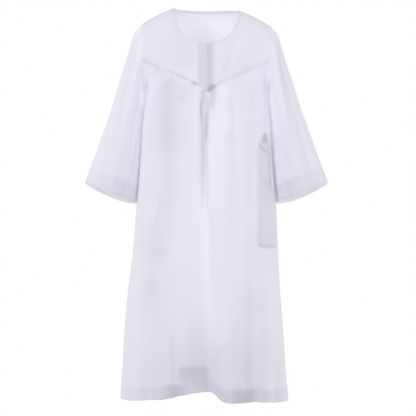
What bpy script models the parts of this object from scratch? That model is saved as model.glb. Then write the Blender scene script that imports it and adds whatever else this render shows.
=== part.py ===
"""A long white robe with a V front yoke, hollow, in the pose it takes when worn.

Metres, +Z up. The front faces -Y and the wearer's left is +X. The origin is the
middle of the neck opening, level with the highest points of the shoulders.
"""
import math

import bmesh
import bpy
import numpy as np

COLLECTION_NAME = "white_robe"

# Cloth and seams
CLOTH = 0.0012
FOLDED_CLOTH = 0.0020
SEAM_GAP = 0.0004
V_SEAM_GAP = 0.0009
HALF_SEAM_GAP = 0.0004
ARMHOLE_GAP = 0.0006
TURN_UP = 0.045
TURN_UP_STEP = 0.002
SLEEVE_LENGTH = 0.46

# Shoulders and neck opening
NECK_HALF_WIDTH = 0.107
NECK_POINT_Z = 0.0025
NECK_TILT = 0.039
SHOULDER_SLOPE = 0.33
SHOULDER_DROOP = 1.75
SHOULDER_BLEND = 0.02
RIDGE_REACH = 0.0015
NECK_FRONT_DROP = 0.120
NECK_BACK_LIFT = 0.005
NECK_BACK_FALL = 0.8
NECK_SQUARENESS = 2.5
BINDING_WIDTH = 0.006
BINDING_CLEARANCE = 0.0007
BINDING_RIDGE_CLEARANCE = 0.0008
BINDING_RIDGE_TURN = 0.12
BINDING_OVERHANG = 0.0006
BINDING_SPLIT = 0.0006

# Front closing and V yoke
PLACKET_LEFT = -0.030
PLACKET_EDGE = 0.0215
UNDERLAP_LEFT = 0.0035
UNDERLAP_RIGHT = 0.0275
YOKE_POINT_X = 0.004
YOKE_POINT_Z = -0.284
YOKE_RISE = 0.100
YOKE_REACH = 0.200
YOKE_CURVE = 0.87

# Armholes: an upright oval from the shoulder's tip to the underarm
ARMHOLE_X = 0.206
UNDERARM_Z = -0.265
ARMHOLE_DEPTH = 0.078
UNDERARM_CLOSING = 1.7

# How the chest and the back round over to the shoulder line
FRONT_ROUND = 0.36
FRONT_ROUND_POWER = 0.55
BACK_ROUND = 0.13
BACK_ROUND_POWER = 0.632

# Level sections of the body, from the shoulders down
BODY_COLUMNS = ("drop", "left", "right", "front", "back", "squareness")
BODY_SECTIONS = (
    (0.000, 0.206, 0.206, 0.115, 0.105, 2.00),
    (0.200, 0.206, 0.206, 0.116, 0.105, 1.90),
    (0.265, 0.206, 0.206, 0.119, 0.105, 1.40),
    (0.360, 0.2105, 0.2100, 0.121, 0.106, 0.90),
    (0.465, 0.2165, 0.2160, 0.123, 0.108, 0.82),
    (0.640, 0.2305, 0.2300, 0.127, 0.116, 0.78),
    (0.825, 0.2460, 0.2377, 0.132, 0.128, 0.72),
    (0.945, 0.2610, 0.2444, 0.136, 0.138, 0.68),
    (1.065, 0.2710, 0.2540, 0.140, 0.148, 0.64),
    (1.185, 0.2776, 0.2610, 0.145, 0.158, 0.60),
    (1.300, 0.2850, 0.2715, 0.150, 0.168, 0.58),
)

# Hem line
HEM_LEFT_Z = -1.281
HEM_RIGHT_Z = -1.287
HEM_FRONT_RISE = 0.014
HEM_BACK_RISE = 0.020
HEM_HOLLOW_X = 0.012
HEM_HOLLOW_WIDTHS = (0.170, 0.046)
HEM_HOLLOW_RISE = 0.018

# Folds: a height over 0 stands out from the body, under 0 sinks in. Each runs
# from one place and drop to another and keeps one height where it ends.
FOLD_GROWTH = 1.4
FOLD_FADE = 0.15
FOLD_SETTLE = 0.7
FOLD_COLUMNS = ("x_top", "x_end", "drop_top", "drop_end", "width_left", "width_right", "top", "end")
FRONT_FOLDS = (
    (-0.020, 0.012, 0.84, 1.30, 0.270, 0.050, 0.000, -0.078),
    (0.072, 0.074, 0.90, 1.30, 0.022, 0.090, 0.000, 0.016),
    (-0.004, 0.018, 0.50, 1.12, 0.022, 0.022, 0.003, 0.006),
    (-0.145, -0.130, 0.26, 0.66, 0.040, 0.030, -0.006, -0.009),
    (-0.130, -0.185, 0.62, 0.90, 0.030, 0.030, -0.008, -0.003),
    (0.062, 0.066, 0.27, 0.60, 0.024, 0.030, 0.006, 0.003),
    (0.140, 0.150, 0.70, 1.30, 0.030, 0.030, -0.003, -0.012),
    (0.215, 0.222, 0.88, 1.30, 0.026, 0.026, 0.004, 0.010),
    (-0.235, -0.245, 0.78, 1.30, 0.026, 0.026, 0.003, 0.009),
    (-0.190, -0.180, 0.86, 1.30, 0.030, 0.034, -0.004, -0.012),
    (-0.098, -0.088, 0.98, 1.30, 0.024, 0.020, -0.002, -0.010),
    (0.160, 0.150, 0.28, 0.60, 0.030, 0.036, -0.003, -0.006),
)
BACK_FOLDS = (
    (0.000, 0.010, 0.30, 1.30, 0.060, 0.060, -0.004, -0.030),
    (0.080, 0.105, 0.45, 1.30, 0.034, 0.040, 0.004, 0.016),
    (-0.085, -0.100, 0.40, 1.30, 0.038, 0.034, 0.004, 0.014),
    (0.150, 0.190, 0.55, 1.30, 0.030, 0.034, -0.004, -0.018),
    (-0.150, -0.180, 0.50, 1.30, 0.034, 0.030, -0.003, -0.020),
    (-0.030, -0.045, 0.16, 0.60, 0.026, 0.024, 0.005, 0.003),
    (0.050, 0.040, 0.18, 0.52, 0.026, 0.026, -0.004, -0.003),
)

# Sleeve outlines as seen from the front, on the wearer's left; mirrored for the right
SLEEVE_OUTER_COLUMNS = ("run", "x", "z")
SLEEVE_OUTER = (
    (0.00, 0.2072, -0.0522),
    (0.02, 0.2122, -0.0559),
    (0.06, 0.2240, -0.0665),
    (0.11, 0.2365, -0.0850),
    (0.16, 0.2435, -0.1050),
    (0.27, 0.2590, -0.1600),
    (0.43, 0.2870, -0.2460),
    (0.57, 0.3120, -0.3260),
    (0.71, 0.3400, -0.4057),
    (0.85, 0.3680, -0.4855),
    (1.00, 0.4000, -0.5760),
)
SLEEVE_INNER_COLUMNS = ("run", "z")
SLEEVE_INNER = (
    (0.00, -0.265),
    (0.02, -0.273),
    (0.11, -0.300),
    (0.27, -0.350),
    (0.43, -0.405),
    (0.57, -0.460),
    (0.71, -0.520),
    (0.85, -0.580),
    (1.00, -0.641),
)
SLEEVE_CLEARANCE = 0.0011
SLEEVE_LEFT_WIDER = 0.005
SLEEVE_LEFT_RUNS = (0.02, 0.14, 0.30, 0.70)
SLEEVE_SETTLE = (0.20, 0.10, 0.30)
CUFF_START = 0.30
SLEEVE_DEPTH_COLUMNS = ("run", "depth", "middle")
SLEEVE_DEPTH = (
    (0.00, 0.0780, 0.000),
    (0.12, 0.0800, 0.000),
    (0.40, 0.0790, -0.004),
    (0.70, 0.0680, -0.012),
    (1.00, 0.0560, -0.020),
)
CUFF_BULGE = 0.009
CUFF_BACK_DROP = 0.007
SLEEVE_FOLD_COLUMNS = ("turn", "run_start", "run_end", "width", "height")
SLEEVE_FOLD_FADE = 0.2
SLEEVE_FOLDS = (
    (0.16, 0.10, 0.95, 0.055, -0.006),
    (0.25, 0.20, 1.00, 0.050, 0.004),
    (0.33, 0.05, 0.80, 0.050, -0.005),
    (0.66, 0.10, 0.90, 0.060, -0.006),
    (0.78, 0.20, 1.00, 0.050, 0.004),
)

# Pocket bags: two layers of cloth lying together on the inside of the side seams
POCKET_CLOTH = 0.0016
POCKET_CLEARANCE = 0.0017
POCKET_CORNER = 0.030
POCKET_COLUMNS = ("front_x", "back_x", "top_z", "bottom_z")
POCKET_LEFT = (-0.203, -0.150, -0.475, -0.790)
POCKET_RIGHT = (0.163, 0.226, -0.440, -0.785)

# Tassel
TASSEL_X = -0.0105
TASSEL_TOP_Z = -0.280
TASSEL_LENGTH = 0.374
TASSEL_STANDOFF = 0.0046
TASSEL_SEAT = 0.0004
TASSEL_HEAD = (0.0150, 0.0060, 0.0180)
TASSEL_HEAD_TOP = (0.6, 0.8)
TASSEL_ROOT_INSET = 0.00035
TASSEL_STRANDS_ACROSS = 8
TASSEL_STRANDS_DEEP = 2
TASSEL_STRAND = 0.0010
TASSEL_STRAND_GATHER = (1.55, 2.05)
TASSEL_LAYER_STEP = 2.4
TASSEL_SHORTER = 0.05
TASSEL_BLEND_RUN = 0.33
TASSEL_STEPS = 11
TASSEL_PART_COLUMNS = ("run", "parting", "sway")
TASSEL_PARTING = (
    (0.00, 0.0035, 0.000),
    (0.10, 0.0062, -0.001),
    (0.25, 0.0066, 0.000),
    (0.42, 0.0058, 0.001),
    (0.55, 0.0042, 0.002),
    (0.66, 0.0042, 0.001),
    (0.76, 0.0066, 0.001),
    (0.86, 0.0046, 0.002),
    (1.00, 0.0078, 0.003),
)

# Mesh densities
YOKE_COLUMNS = 19
YOKE_ROWS = 9
YOKE_ROW_CROWDS = (2.4, 1.0)
YOKE_CROWD_FADE = 0.6
SHOULDER_CROWD = 0.9
NECK_COLUMNS = 14
NECK_CROWD = 1.6
BINDING_FRONT_COLUMNS = 6
UNDERLAP_COLUMNS = 5
FRONT_ROWS = 22
FRONT_ROW_CROWD = (0.35, 1.5)
BACK_NECK_COLUMNS = 17
BACK_SHOULDER_COLUMNS = 8
BACK_ROWS = 22
BACK_ROW_CROWD = (0.5, 1.9)
SLEEVE_RINGS = 13
SLEEVE_RING_CROWD = (0.4, 1.3)
SLEEVE_SIDES = 24
POCKET_ROWS = 14
POCKET_COLUMN_COUNT = 12

# The front's columns crowd toward the deep fold at the hem: place and strength in radians
FOLD_TURN = 0.21
FOLD_CROWD = 0.30
SIDE_SEAM_TURN = math.pi / 2
SIDE_SEAM_SLIVER = 1e-6

CLOTH_COLOUR = (0.830, 0.810, 0.880)
BINDING_COLOUR = (0.640, 0.620, 0.720)
POCKET_COLOUR = (0.740, 0.720, 0.800)
TASSEL_COLOUR = (0.790, 0.770, 0.850)


def column(table, columns, name):
    """One named column of a table as an array."""
    place = columns.index(name)
    return np.array([row[place] for row in table], dtype=float)


def smooth_read(xs, ys, at):
    """A smooth curve through the points (xs, ys), read at the places given."""
    slopes = np.gradient(ys, xs)
    at = np.clip(at, xs[0], xs[-1])
    left = np.clip(np.searchsorted(xs, at, side="right") - 1, 0, len(xs) - 2)
    span = xs[left + 1] - xs[left]
    t = (at - xs[left]) / span
    start = (1 + 2 * t) * (1 - t) ** 2 * ys[left] + t * (1 - t) ** 2 * span * slopes[left]
    end = t ** 2 * (3 - 2 * t) * ys[left + 1] + t ** 2 * (t - 1) * span * slopes[left + 1]
    return start + end


def ease(t):
    """A smooth step from 0 to 1."""
    t = np.clip(t, 0.0, 1.0)
    return t * t * (3 - 2 * t)


def body_size(name, z):
    """One named size of the level section at height z."""
    drops = column(BODY_SECTIONS, BODY_COLUMNS, "drop")
    return smooth_read(drops, column(BODY_SECTIONS, BODY_COLUMNS, name), -z)


def shoulder_z(x):
    """Height of the shoulder line over x, carried on across the neck opening."""
    tilt = -NECK_TILT * np.clip(x, -NECK_HALF_WIDTH, NECK_HALF_WIDTH)
    reach = np.sqrt(x ** 2 + SHOULDER_BLEND ** 2) - NECK_HALF_WIDTH
    droop = SHOULDER_DROOP * np.maximum(reach, 0) ** 2
    return NECK_POINT_Z + tilt - SHOULDER_SLOPE * reach - droop


def half_width(theta, z):
    """Half width of the section on the side that theta points to."""
    return np.where(np.sin(theta) < 0, body_size("left", z), body_size("right", z))


def armhole_depth(below, tip_z):
    """Depth of the armhole's upright oval below the shoulder line, drawn in toward the underarm."""
    half = (tip_z - UNDERARM_Z) / 2
    place = np.clip((below - half) / half, -1, 1)
    power = np.where(place > 0, UNDERARM_CLOSING, 1.0)
    return ARMHOLE_DEPTH * np.sqrt(1 - place ** 2) ** power


def rounding(below, reach, power):
    """How far the chest or back has come out, 0 at the shoulder line and 1 below its reach."""
    left = 1 - np.clip(below / reach, 0, 1)
    return (1 - left ** 2) ** power


def fold_height(folds, x, z):
    """Sum of the folds' heights at x and z; across, each is one smooth hump."""
    total = np.zeros(np.broadcast(x, z).shape)
    for fold in folds:
        row = dict(zip(FOLD_COLUMNS, fold))
        run = (-z - row["drop_top"]) / (row["drop_end"] - row["drop_top"])
        along = np.clip(run, 0, 1)
        centre = row["x_top"] + (row["x_end"] - row["x_top"]) * along
        width = np.where(x < centre, row["width_left"], row["width_right"])
        across = np.cos(np.clip(np.abs(x - centre) / width, 0, 1) * math.pi / 2) ** 2
        fade = ease((run + FOLD_FADE) / (2 * FOLD_FADE)) * ease((1 + 2 * FOLD_FADE - run) / (2 * FOLD_FADE))
        total += (row["top"] + (row["end"] - row["top"]) * along ** FOLD_GROWTH) * across * fade
    return total


def body_point(theta, z):
    """Outer surface of the body: theta 0 is centre front, a quarter turn the side seam."""
    theta, z = np.broadcast_arrays(np.asarray(theta, float), np.asarray(z, float))
    width = half_width(theta, z)
    x = width * np.sin(theta)
    toward = np.abs(np.cos(theta))
    is_front = np.cos(theta) >= 0
    tip_z = shoulder_z(np.where(np.sin(theta) < 0, -ARMHOLE_X, ARMHOLE_X))
    below = np.maximum(shoulder_z(x) - z, 0)
    at_side = armhole_depth(below, tip_z)
    power = body_size("squareness", z)
    front = body_size("front", z) * rounding(below, FRONT_ROUND, FRONT_ROUND_POWER)
    back = body_size("back", z) * rounding(below, BACK_ROUND, BACK_ROUND_POWER)
    settle = toward ** FOLD_SETTLE
    front = at_side + (front - at_side) * toward ** power + fold_height(FRONT_FOLDS, x, z) * settle
    back = at_side + (back - at_side) * toward ** power + fold_height(BACK_FOLDS, x, z) * settle
    y = np.where(is_front, -front - HALF_SEAM_GAP, back + HALF_SEAM_GAP)
    return np.stack([x, y, z], axis=-1)


def body_out(theta, z):
    """Unit vector that points out of the body's surface."""
    step = 1e-4
    across = body_point(theta + step, z) - body_point(theta - step, z)
    up = body_point(theta, z + step) - body_point(theta, z - step)
    out = np.cross(across, up)
    out = out / np.linalg.norm(out, axis=-1, keepdims=True)
    x = half_width(theta, z) * np.sin(theta)
    ridge = np.stack([SHOULDER_SLOPE * np.sign(x), np.zeros_like(x), np.ones_like(x)], axis=-1)
    near = np.exp(-np.maximum(shoulder_z(x) - z, 0) / RIDGE_REACH)[..., None]
    out = out * (1 - near) + ridge / np.linalg.norm(ridge, axis=-1, keepdims=True) * near
    return out / np.linalg.norm(out, axis=-1, keepdims=True)


def theta_front(x, z):
    """The turn at which the front of the section reaches x."""
    side = np.where(x < 0, body_size("left", z), body_size("right", z))
    return np.arcsin(np.clip(x / side, -1, 1))


def on_front(x, z, out=0.0):
    """Points over the front at x and z, moved out by the distance given."""
    theta = theta_front(x, z)
    return body_point(theta, z) + body_out(theta, z) * out


def seam_turns():
    """The turns at which the columns of the front meet the V seam, left to right."""
    left_end = math.asin((PLACKET_LEFT - SEAM_GAP / 2) / ARMHOLE_X)
    right_end = math.asin((PLACKET_EDGE + SEAM_GAP / 2) / ARMHOLE_X)
    left = np.linspace(-SIDE_SEAM_TURN, left_end, YOKE_COLUMNS)
    right = np.linspace(right_end, SIDE_SEAM_TURN, YOKE_COLUMNS)
    point = math.asin(YOKE_POINT_X / ARMHOLE_X)
    middle = [(left_end + point) / 2, point, (point + right_end) / 2]
    return np.concatenate([left, middle, right])


def yoke_seam_z(x):
    """The V seam: lowest at centre front, rising in a soft curve to the armholes."""
    return YOKE_POINT_Z + YOKE_RISE * (np.abs(x - YOKE_POINT_X) / YOKE_REACH) ** YOKE_CURVE


def hem_z(theta, x):
    """Height of the hem line, with the hollow at centre front drawn up a little."""
    toward = np.abs(np.cos(theta))
    side = (HEM_LEFT_Z + HEM_RIGHT_Z) / 2 + (HEM_RIGHT_Z - HEM_LEFT_Z) / 2 * np.sin(theta)
    from_hollow = x - HEM_HOLLOW_X
    width = np.where(from_hollow < 0, *HEM_HOLLOW_WIDTHS)
    hollow = np.cos(np.clip(np.abs(from_hollow) / width, 0, 1) * math.pi / 2) ** 2
    front = side + HEM_FRONT_RISE * toward + HEM_HOLLOW_RISE * hollow
    return np.where(np.cos(theta) >= 0, front, side + HEM_BACK_RISE * toward)


def neck_line(phi, away, back=False):
    """The neck opening's edge at turn phi, moved away from the opening along the cloth."""
    wide = NECK_HALF_WIDTH + away
    side = np.where(np.sin(phi) < 0, -1.0, 1.0)
    share = np.abs(np.sin(phi)) ** (2 / NECK_SQUARENESS)
    x = wide * side * share
    if back:
        level = (shoulder_z(wide) + shoulder_z(-wide)) / 2 - NECK_TILT * x
        middle = NECK_POINT_Z + NECK_BACK_LIFT - NECK_BACK_FALL * away - level
        return x, np.minimum(level + middle * (1 - share ** 2), shoulder_z(x))
    side_z = shoulder_z(wide * side)
    middle_z = shoulder_z(NECK_HALF_WIDTH) - NECK_FRONT_DROP - away
    return x, np.minimum(side_z + (middle_z - side_z) * np.abs(np.cos(phi)), shoulder_z(x))


def neck_edge_z(x):
    """Height of the front neckline over x."""
    share = np.clip(np.abs(x) / NECK_HALF_WIDTH, 0, 1) ** (NECK_SQUARENESS / 2)
    return neck_line(np.arcsin(share) * np.sign(x), 0.0)[1]


def new_mesh(name, points, faces):
    """A mesh from plain points and faces, with its faces turned the same way."""
    mesh = bpy.data.meshes.new(name)
    mesh.from_pydata([tuple(p) for p in points], [], faces)
    mesh.validate()
    mesh.update()
    return mesh


def grid_faces(rows, columns, closed):
    """The quads of a grid of points; a closed grid joins its last column to its first."""
    faces = []
    for row in range(rows - 1):
        for place in range(columns if closed else columns - 1):
            following = (place + 1) % columns
            low = (row + 1) * columns
            faces.append((row * columns + place, low + place, low + following, row * columns + following))
    return faces


def material(name, colour, roughness):
    """A plain cloth material."""
    made = bpy.data.materials.new(name)
    made.use_nodes = True
    shader = made.node_tree.nodes["Principled BSDF"]
    shader.inputs["Base Color"].default_value = (*colour, 1.0)
    shader.inputs["Roughness"].default_value = roughness
    shader.inputs["Metallic"].default_value = 0.0
    return made


def add_object(name, mesh, collection, finish):
    """Put a mesh in the collection with its own material."""
    made = bpy.data.objects.new(name, mesh)
    mesh.materials.append(finish)
    collection.objects.link(made)
    return made


def cloth_panel(name, grid, collection, finish, thickness=CLOTH, closed=False, flip=False, doubled=None):
    """An open grid of cloth given its thickness inwards; doubled marks the turned-up rows."""
    rows, columns = grid.shape[:2]
    faces = grid_faces(rows, columns, closed)
    if flip:
        faces = [tuple(reversed(face)) for face in faces]
    mesh = new_mesh(name, grid.reshape(-1, 3), faces)
    panel = add_object(name, mesh, collection, finish)
    wall = panel.modifiers.new("wall", "SOLIDIFY")
    wall.offset = -1.0
    wall.use_even_offset = True
    wall.thickness_clamp = 1.0
    if doubled is None:
        wall.thickness = thickness
    else:
        wall.thickness = thickness * 2
        group = panel.vertex_groups.new(name="turned_up")
        group.add([int(i) for i in np.nonzero(doubled.reshape(-1))[0]], 1.0, "REPLACE")
        wall.vertex_group = group.name
        wall.thickness_vertex_group = 0.5
    mesh.shade_smooth()
    return panel


def spread(start, end, count, power=1.0):
    """Places from start to end, crowded toward the start where the power is over 1."""
    return start + (end - start) * np.linspace(0, 1, count) ** power


def neck_turns(side):
    """Turns of one side yoke's points along the neckline, from the shoulder to the closing."""
    near = (-PLACKET_LEFT if side < 0 else PLACKET_EDGE) + SEAM_GAP / 2
    phi_near = math.asin((near / NECK_HALF_WIDTH) ** (NECK_SQUARENESS / 2))
    return side * np.arccos(spread(0.0, math.cos(phi_near), NECK_COLUMNS, NECK_CROWD))


def back_neck_turns():
    """Turns of the back's points along its neckline, from the wearer's right to the left."""
    even = np.linspace(-SIDE_SEAM_TURN, SIDE_SEAM_TURN, BACK_NECK_COLUMNS)
    return SIDE_SEAM_TURN * np.sin(even)


def side_yoke(name, side, collection, finish):
    """A side of the V yoke: shoulder line and neckline above, V seam below."""
    shoulder_count = YOKE_COLUMNS - NECK_COLUMNS + 1
    shoulder_x = side * spread(ARMHOLE_X, NECK_HALF_WIDTH, shoulder_count, SHOULDER_CROWD)[:-1]
    neck_x, neck_z = neck_line(neck_turns(side), 0.0)
    top_x = np.concatenate([shoulder_x, neck_x])
    top_z = np.concatenate([shoulder_z(shoulder_x), neck_z])
    over_neck = spread(*YOKE_ROW_CROWDS, len(neck_x), YOKE_CROWD_FADE)
    crowd = np.concatenate([np.full(len(shoulder_x), YOKE_ROW_CROWDS[0]), over_neck])
    turns = seam_turns()
    turns = turns[:YOKE_COLUMNS] if side < 0 else turns[-YOKE_COLUMNS:][::-1]
    bottom_x = ARMHOLE_X * np.sin(turns)
    bottom_z = yoke_seam_z(bottom_x)
    share = np.linspace(0, 1, YOKE_ROWS)[:, None] ** crowd[None, :]
    x = top_x + (bottom_x - top_x) * share
    z = top_z + (bottom_z - top_z) * share
    return cloth_panel(name, on_front(x, z), collection, finish, flip=side > 0)


def placket(collection, finish):
    """The folded band of the closing, between the yoke's sides, down to the V's point."""
    turns = seam_turns()[YOKE_COLUMNS - 1:-(YOKE_COLUMNS - 1)]
    x = ARMHOLE_X * np.sin(turns)
    x[0] += SEAM_GAP
    x[-1] -= SEAM_GAP
    share = np.linspace(0, 1, YOKE_ROWS)[:, None]
    top_z = neck_edge_z(x)
    z = top_z + (yoke_seam_z(x) - top_z) * share
    grid = on_front(np.broadcast_to(x, z.shape), z)
    return cloth_panel("placket", grid, collection, finish, FOLDED_CLOTH)


def turn_up_rows(plain_rows, length, until, power):
    """Shares of a panel's length for its rows, with a close pair at the turned-up edge.

    Above the share named by until the rows crowd toward the panel's top by the power given.
    """
    top = 1 - TURN_UP / length
    rows = np.linspace(0, top - TURN_UP_STEP / length, plain_rows)
    rows = np.where(rows < until, until * (rows / until) ** power, rows)
    return np.concatenate([rows, [top, (1 + top) / 2, 1.0]])


def panel_grid(theta, top_z, rows):
    """A body panel from its top edge to the hem; theta gives the columns' turns at each row."""
    x_hem = half_width(theta[-1], np.full_like(theta[-1], HEM_RIGHT_Z)) * np.sin(theta[-1])
    z = top_z + (hem_z(theta[-1], x_hem) - top_z) * rows[:, None]
    return body_point(theta, z)


def hem_marks(grid):
    """The points of a panel whose cloth is doubled by the turned-up hem."""
    marks = np.zeros(grid.shape[:2], dtype=bool)
    marks[-3:] = True
    return marks


def front_panel(collection, finish):
    """The front below the V seam, from side seam to side seam."""
    turns = seam_turns()
    crowded = turns - FOLD_CROWD * np.sin(2 * (turns - FOLD_TURN)) * np.cos(turns) ** 2
    rows = turn_up_rows(FRONT_ROWS, YOKE_POINT_Z - HEM_RIGHT_Z, *FRONT_ROW_CROWD)
    theta = turns + (crowded - turns) * ease(rows)[:, None]
    grid = panel_grid(theta, yoke_seam_z(ARMHOLE_X * np.sin(turns)) - V_SEAM_GAP, rows)
    return cloth_panel("front_panel", grid, collection, finish, doubled=hem_marks(grid))


def back_panel(collection, finish):
    """The whole back, from shoulders and neck to hem."""
    neck_x, neck_z = neck_line(back_neck_turns(), 0.0, back=True)
    neck_turn = np.arcsin(neck_x / ARMHOLE_X)
    seam_turn = SIDE_SEAM_TURN - SIDE_SEAM_SLIVER
    shoulder_turn = spread(seam_turn, neck_turn[-1], BACK_SHOULDER_COLUMNS)[:-1]
    shoulder_edge_z = shoulder_z(ARMHOLE_X * np.sin(shoulder_turn))
    mirrored_edge_z = shoulder_z(-ARMHOLE_X * np.sin(shoulder_turn))
    turns = math.pi - np.concatenate([-shoulder_turn, neck_turn, shoulder_turn[::-1]])
    edge = np.concatenate([mirrored_edge_z, neck_z, shoulder_edge_z[::-1]])
    rows = turn_up_rows(BACK_ROWS, -HEM_RIGHT_Z, *BACK_ROW_CROWD)
    grid = panel_grid(np.broadcast_to(turns, (len(rows), len(turns))), edge, rows)
    return cloth_panel("back_panel", grid, collection, finish, flip=True, doubled=hem_marks(grid))


def sleeve_depth(run, turn):
    """Half depth of a sleeve, front to back, with its folds."""
    runs = column(SLEEVE_DEPTH, SLEEVE_DEPTH_COLUMNS, "run")
    depth = smooth_read(runs, column(SLEEVE_DEPTH, SLEEVE_DEPTH_COLUMNS, "depth"), run)
    for fold in SLEEVE_FOLDS:
        row = dict(zip(SLEEVE_FOLD_COLUMNS, fold))
        across = np.cos(np.clip(np.abs(turn - row["turn"]) / row["width"], 0, 1) * math.pi / 2) ** 2
        start = ease((run - row["run_start"]) / SLEEVE_FOLD_FADE)
        along = start * ease((row["run_end"] + SLEEVE_FOLD_FADE / 2 - run) / SLEEVE_FOLD_FADE)
        depth = depth + row["height"] * across * along
    return depth


def sleeve_point(side, run, turn):
    """A point of a sleeve: run 0 at the armhole and 1 at the cuff, turn once round it."""
    tip_z = float(shoulder_z(np.array(side * ARMHOLE_X)))
    outer_run = column(SLEEVE_OUTER, SLEEVE_OUTER_COLUMNS, "run")
    outer_x = smooth_read(outer_run, column(SLEEVE_OUTER, SLEEVE_OUTER_COLUMNS, "x"), run)
    outer_z = smooth_read(outer_run, column(SLEEVE_OUTER, SLEEVE_OUTER_COLUMNS, "z"), run)
    tip_run, gap_run, closing_run = SLEEVE_SETTLE
    outer_z = outer_z + (tip_z - SLEEVE_OUTER[0][2]) * (1 - ease(run / tip_run))
    if side < 0:
        begin, full, fall, stop = SLEEVE_LEFT_RUNS
        wider = ease((run - begin) / (full - begin)) * ease((stop - run) / (stop - fall))
        outer_x = outer_x + SLEEVE_LEFT_WIDER * wider
    inner_run = column(SLEEVE_INNER, SLEEVE_INNER_COLUMNS, "run")
    inner_z = smooth_read(inner_run, column(SLEEVE_INNER, SLEEVE_INNER_COLUMNS, "z"), run)
    beside = body_size("left" if side < 0 else "right", inner_z)
    inner_x = beside + ARMHOLE_GAP + (SLEEVE_CLEARANCE - ARMHOLE_GAP) * ease(run / gap_run)
    middle_run = column(SLEEVE_DEPTH, SLEEVE_DEPTH_COLUMNS, "run")
    middle_y = smooth_read(middle_run, column(SLEEVE_DEPTH, SLEEVE_DEPTH_COLUMNS, "middle"), run)
    angle = turn * 2 * math.pi
    lean = np.cos(angle)
    swing = np.sin(angle)
    closing = np.where(lean < 0, UNDERARM_CLOSING, 1.0)
    closing = closing + (1.0 - closing) * ease(run / closing_run)
    depth = sleeve_depth(run, turn) * np.sign(swing) * np.abs(swing) ** closing
    down = CUFF_BULGE * swing ** 2 + CUFF_BACK_DROP * np.clip(-swing, 0, 1)
    down = down * ease((run - CUFF_START) / (1 - CUFF_START))
    x = side * ((outer_x + inner_x) / 2 + (outer_x - inner_x) / 2 * lean)
    z = (outer_z + inner_z) / 2 + (outer_z - inner_z) / 2 * lean - down
    return np.stack([x, middle_y - depth, z], axis=-1)


def sleeve(name, side, collection, finish):
    """A sleeve from the armhole to the cuff with its turned-up hem."""
    rows = turn_up_rows(SLEEVE_RINGS, SLEEVE_LENGTH, *SLEEVE_RING_CROWD)
    run, turn = np.meshgrid(rows, np.arange(SLEEVE_SIDES) / SLEEVE_SIDES, indexing="ij")
    grid = sleeve_point(side, run, turn)
    return cloth_panel(name, grid, collection, finish, closed=True, flip=side > 0, doubled=hem_marks(grid))


def neck_binding(collection, finish):
    """A narrow band round the neck, split at the closing's edge."""
    split = PLACKET_EDGE + np.array([-1, 1]) * BINDING_SPLIT / 2
    ends = np.arcsin((split / NECK_HALF_WIDTH) ** (NECK_SQUARENESS / 2))
    over_closing = np.linspace(ends[0], neck_turns(-1.0)[-1], BINDING_FRONT_COLUMNS)
    to_left = neck_turns(-1.0)[::-1][1:]
    round_back = -math.pi - back_neck_turns()[1:-1]
    to_right = neck_turns(1.0)[:-1] - 2 * math.pi
    phi = np.concatenate([over_closing, to_left, round_back, to_right, [ends[1] - 2 * math.pi]])
    on_back = np.cos(phi) < 0
    strip = []
    for away in (-BINDING_OVERHANG, BINDING_WIDTH / 2, BINDING_WIDTH):
        front_x, front_z = neck_line(phi, away)
        back_x, back_z = neck_line(phi, away, back=True)
        x = np.where(on_back, back_x, front_x)
        z = np.where(on_back, back_z, front_z)
        theta = theta_front(x, z)
        theta = np.where(on_back, math.pi - theta, theta)
        near_ridge = np.exp(-(np.cos(phi) / BINDING_RIDGE_TURN) ** 2)
        lift = CLOTH + BINDING_CLEARANCE + BINDING_RIDGE_CLEARANCE * near_ridge
        strip.append(body_point(theta, z) + body_out(theta, z) * lift[:, None])
    return cloth_panel("neck_binding", np.array(strip), collection, finish, flip=True)


def placket_underlap(collection, finish):
    """The under layer of the front closing, inside the placket."""
    top_x = spread(UNDERLAP_LEFT, UNDERLAP_RIGHT, UNDERLAP_COLUMNS)
    share = np.linspace(0, 1, YOKE_ROWS)[:, None]
    top_z = neck_edge_z(top_x) - BINDING_OVERHANG
    low_z = yoke_seam_z(top_x)
    x = np.broadcast_to(top_x, (YOKE_ROWS, UNDERLAP_COLUMNS))
    z = top_z + (low_z - top_z) * share
    grid = on_front(x, z, -(FOLDED_CLOTH + SEAM_GAP))
    return cloth_panel("placket_underlap", grid, collection, finish, POCKET_CLOTH)


def pocket_bag(name, sizes, collection, finish):
    """A pocket bag inside a side seam, from its front edge round to its back edge."""
    row = dict(zip(POCKET_COLUMNS, sizes))
    side = 1.0 if row["front_x"] > 0 else -1.0
    heights = spread(row["top_z"], row["bottom_z"], POCKET_ROWS)
    z = np.repeat(heights[:, None], POCKET_COLUMN_COUNT, axis=1)
    rise = np.clip((z - row["bottom_z"]) / POCKET_CORNER, 0, 1)
    from_top = np.clip((row["top_z"] - z) / POCKET_CORNER, 0, 1)
    corner = POCKET_CORNER * (2 - np.sqrt(1 - (1 - rise) ** 2) - np.sqrt(1 - (1 - from_top) ** 2))
    start = theta_front(row["front_x"] + side * corner, z) * side
    stop = math.pi - theta_front(row["back_x"] + side * corner, z) * side
    theta = (start + (stop - start) * np.linspace(0, 1, POCKET_COLUMN_COUNT)[None, :]) * side
    inward = -(CLOTH + POCKET_CLEARANCE)
    grid = body_point(theta, z) + body_out(theta, z) * inward
    return cloth_panel(name, grid, collection, finish, POCKET_CLOTH, flip=side < 0)


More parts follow.
